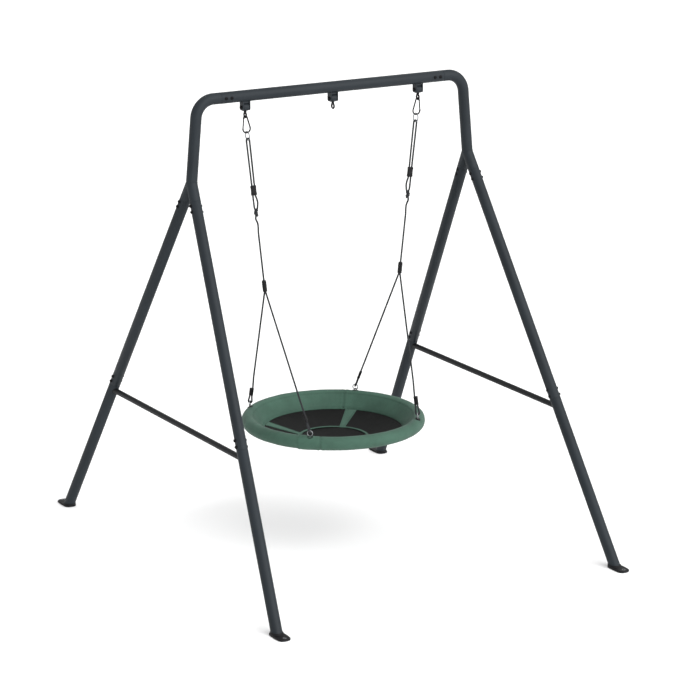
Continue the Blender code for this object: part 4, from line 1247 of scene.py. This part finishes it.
def base_height(r):
    """The sagging base's upper surface."""
    if r < BASE_RING:
        t = r / BASE_RING
        return BASE_MIDDLE_Z + (BASE_RING_Z - BASE_MIDDLE_Z) * t * t
    t = (r - BASE_RING) / (BASE_RADIUS - BASE_RING)
    return BASE_RING_Z + (BASE_EDGE_Z - BASE_RING_Z) * t


def base_sag(r, turn):
    """Between the straps the cloth hangs a little lower, and it draws tight towards its edge."""
    between = math.sin(2 * (turn - math.pi / 4)) ** 2
    share = max(0.0, math.sin(math.pi * min(1.0, r / BASE_RADIUS)))
    draw = 0.0006 * math.sin(52 * turn) * max(0.0, (r - 0.27) / 0.05)
    return -0.0024 * between * share + draw + 0.0006 * noise.noise(polar(30 * r, turn, 3))


def make_base_cloth():
    """The base's cloth, its edge sewn under the cover."""
    around = turns(288)
    radii = [0.002 + (BASE_RADIUS - 0.0030) * i / 60 for i in range(61)]
    rows = [[polar(r, a, base_height(r) - 0.0016 + base_sag(r, a)) for a in around] for r in radii]
    nr, nz = section_normal(1)
    for s, below in ((0.002, 0.0026), (0.012, 0.0024)):
        r, z = (SECTION[0][i] + (SECTION[SLOPE_STEPS][i] - SECTION[0][i]) * s / SLOPE_LONG for i in (0, 1))
        rows.append([polar(r - below * nr, a, z - below * nz) for a in around])
    shape = new_shape()
    made = skin_over(shape, rows, caps=False)
    shape.faces.new(list(reversed(made[0])))
    return thickened(piece("seat_base_cloth", shape, "base_fabric", "seat", ["seat_base"], angle=80), 0.0012)


def make_strap(i, middle):
    """A wedge of webbing from the centre ring to the base's edge, with folded edges."""
    rows = []
    for j in range(41):
        r = BASE_RING - 0.009 + (BASE_RADIUS + 0.0006 - BASE_RING + 0.009) * j / 40
        row = []
        for share in (k / 12 - 1 for k in range(25)):
            fold = 0.0005 * hump(abs(share) * STRAP_TURN * r - (STRAP_TURN * r - 0.0022), 0.0016)
            edge = -0.0008 * max(0.0, (abs(share) - 0.965) / 0.035)
            z = base_height(r) + 0.0002 + 0.0004 * (1 - share**2) + fold + edge
            row.append(polar(r, middle + share * STRAP_TURN, z))
        rows.append(row)
    shape = new_shape()
    lengths = ([0.17 * j / 40 for j in range(42)], [0.04 * k / 24 for k in range(26)])
    skin_over(shape, rows, closed_round=False, caps=False, lengths=lengths)
    return thickened(piece(f"seat_base_strap_{i}", shape, "green_fabric", "seat", angle=60), 0.0014)


def strap_stitches(shape, middle):
    """Two rows along each edge of a strap, and one across it on either side of the ring."""
    inner, outer = BASE_RING + 0.009, BASE_RADIUS - 0.004
    for share in (-1, 1):
        for inset in (0.0030, 0.0070):
            radii = [inner + (outer - inner) * j / 29 for j in range(30)]
            stitch_row(shape, [polar(r, middle + share * (STRAP_TURN - inset / r), base_height(r) + 0.0007)
                               for r in radii])
    for r in (BASE_RING + 0.010, BASE_RING - 0.0055):
        stitch_row(shape, [polar(r, middle + STRAP_TURN * 0.85 * (j / 6 - 1), base_height(r) + 0.0009)
                           for j in range(13)])


def make_base():
    """The base cloth with its four wedge straps and its centre ring, hemmed and stitched."""
    cloth = make_base_cloth()
    middles = [math.radians(45 + 90 * i) for i in range(4)]
    webbing = [make_strap(i, middle) for i, middle in enumerate(middles)]
    profile = rounded([(BASE_RING - 0.0068, -0.0012), (BASE_RING + 0.0068, -0.0008),
                       (BASE_RING + 0.0068, 0.0008), (BASE_RING - 0.0068, 0.0002)], 0.0005)
    shape = lathe(new_shape(), profile, Matrix.Translation((0, 0, BASE_RING_Z)), 216)
    webbing.append(piece("seat_base_ring", shape, "green_fabric", "seat", angle=60))

    shape = new_shape()
    for middle in middles:
        strap_stitches(shape, middle)
    for r, z in ((BASE_RING - 0.0048, 0.0006), (BASE_RING + 0.0048, 0.0010)):
        stitch_row(shape, [polar(r, TAU * j / 240, BASE_RING_Z + z) for j in range(241)])
    stitches = piece("seat_base_stitches", shape, "thread", "seat", angle=60)


def make_rim_core():
    """What the cover hides: the steel hoop with the lugs that hold the seat rings, and its foam sleeve."""
    shape = ring(new_shape(), (0, 0, RIM_Z), UP, RIM_RADIUS, HOOP_R, 180, 24)
    for side, end in CORNERS:
        centre, sideways = seat_ring_centre(side, end), radial(side, end).cross(UP)
        low = Vector((centre.x, centre.y, RIM_Z + 0.010))
        bow = arc(centre - (SEAT_RING_R + 0.0002) * UP, sideways, UP, LUG_R, 180, 0, 16)
        route = [low - LUG_R * sideways, *bow, low + LUG_R * sideways]
        sweep(shape, evenly(route, 0.0012), 0.0019, 14)
    piece("seat_hoop_steel", shape, "black_steel", "seat", ["seat_hoop"])
    section = []
    for r, start, reach, count in ((FOAM_R, 255, -330, 40), (HOOP_R + 0.0012, -78, 336, 30)):
        section += [(RIM_RADIUS + r * math.cos(a), RIM_Z + r * math.sin(a))
                    for a in (math.radians(start + reach * i / count) for i in range(count + 1))]
    foam = piece("rim_foam_sleeve", lathe(new_shape(), section, None, 144), "foam", "seat", ["rim_foam"])


def make_eyelets():
    """Black grommets where the lugs come through the cover, bent to the rim's shape."""
    at_turn = math.acos(min(1.0, (ATTACH * math.sqrt(2) - RIM_RADIUS) / RIM_R))
    profile = rounded([(0.0082, -0.0012), (0.0138, -0.0012), (0.0136, 0.0009), (0.0110, 0.0019),
                       (0.0086, 0.0014)], 0.0009, 4)
    disc = [(r, 0.0005 - 0.0006 * (1 - r / 0.0095)) for r in (0.0006, 0.003, 0.006, 0.0095)]
    for side, end in CORNERS:
        turn = math.atan2(ENDS[end], SIDES[side])

        def on_rim(section):
            return [[rim_point(at_turn - r * math.cos(a) / RIM_R, turn + r * math.sin(a) / RIM_RADIUS,
                               RIM_R + high) for a in turns(48)] for r, high in section]

        shape = new_shape()
        skin_over(shape, on_rim(profile), closed_rows=True)
        made = skin_over(shape, on_rim(disc), caps=False)
        shape.faces.new(list(reversed(made[0])))
        piece(f"seat_eyelet_{side}_{end}", shape, "black_plastic", "seat")


def main():
    set_stage()
    make_ropes()
    make_beam()
    for side in SIDES:
        make_corner(side)
    make_legs()
    make_cross_bars()
    make_feet()
    for name, x in HANGERS.items():
        make_bracket(name, x)
        make_eye(name, x)
    for side in SIDES:
        make_hook(side)
    make_rings()
    make_rim_core()
    make_cover()
    make_cover_stitches()
    make_base()
    make_eyelets()


main()
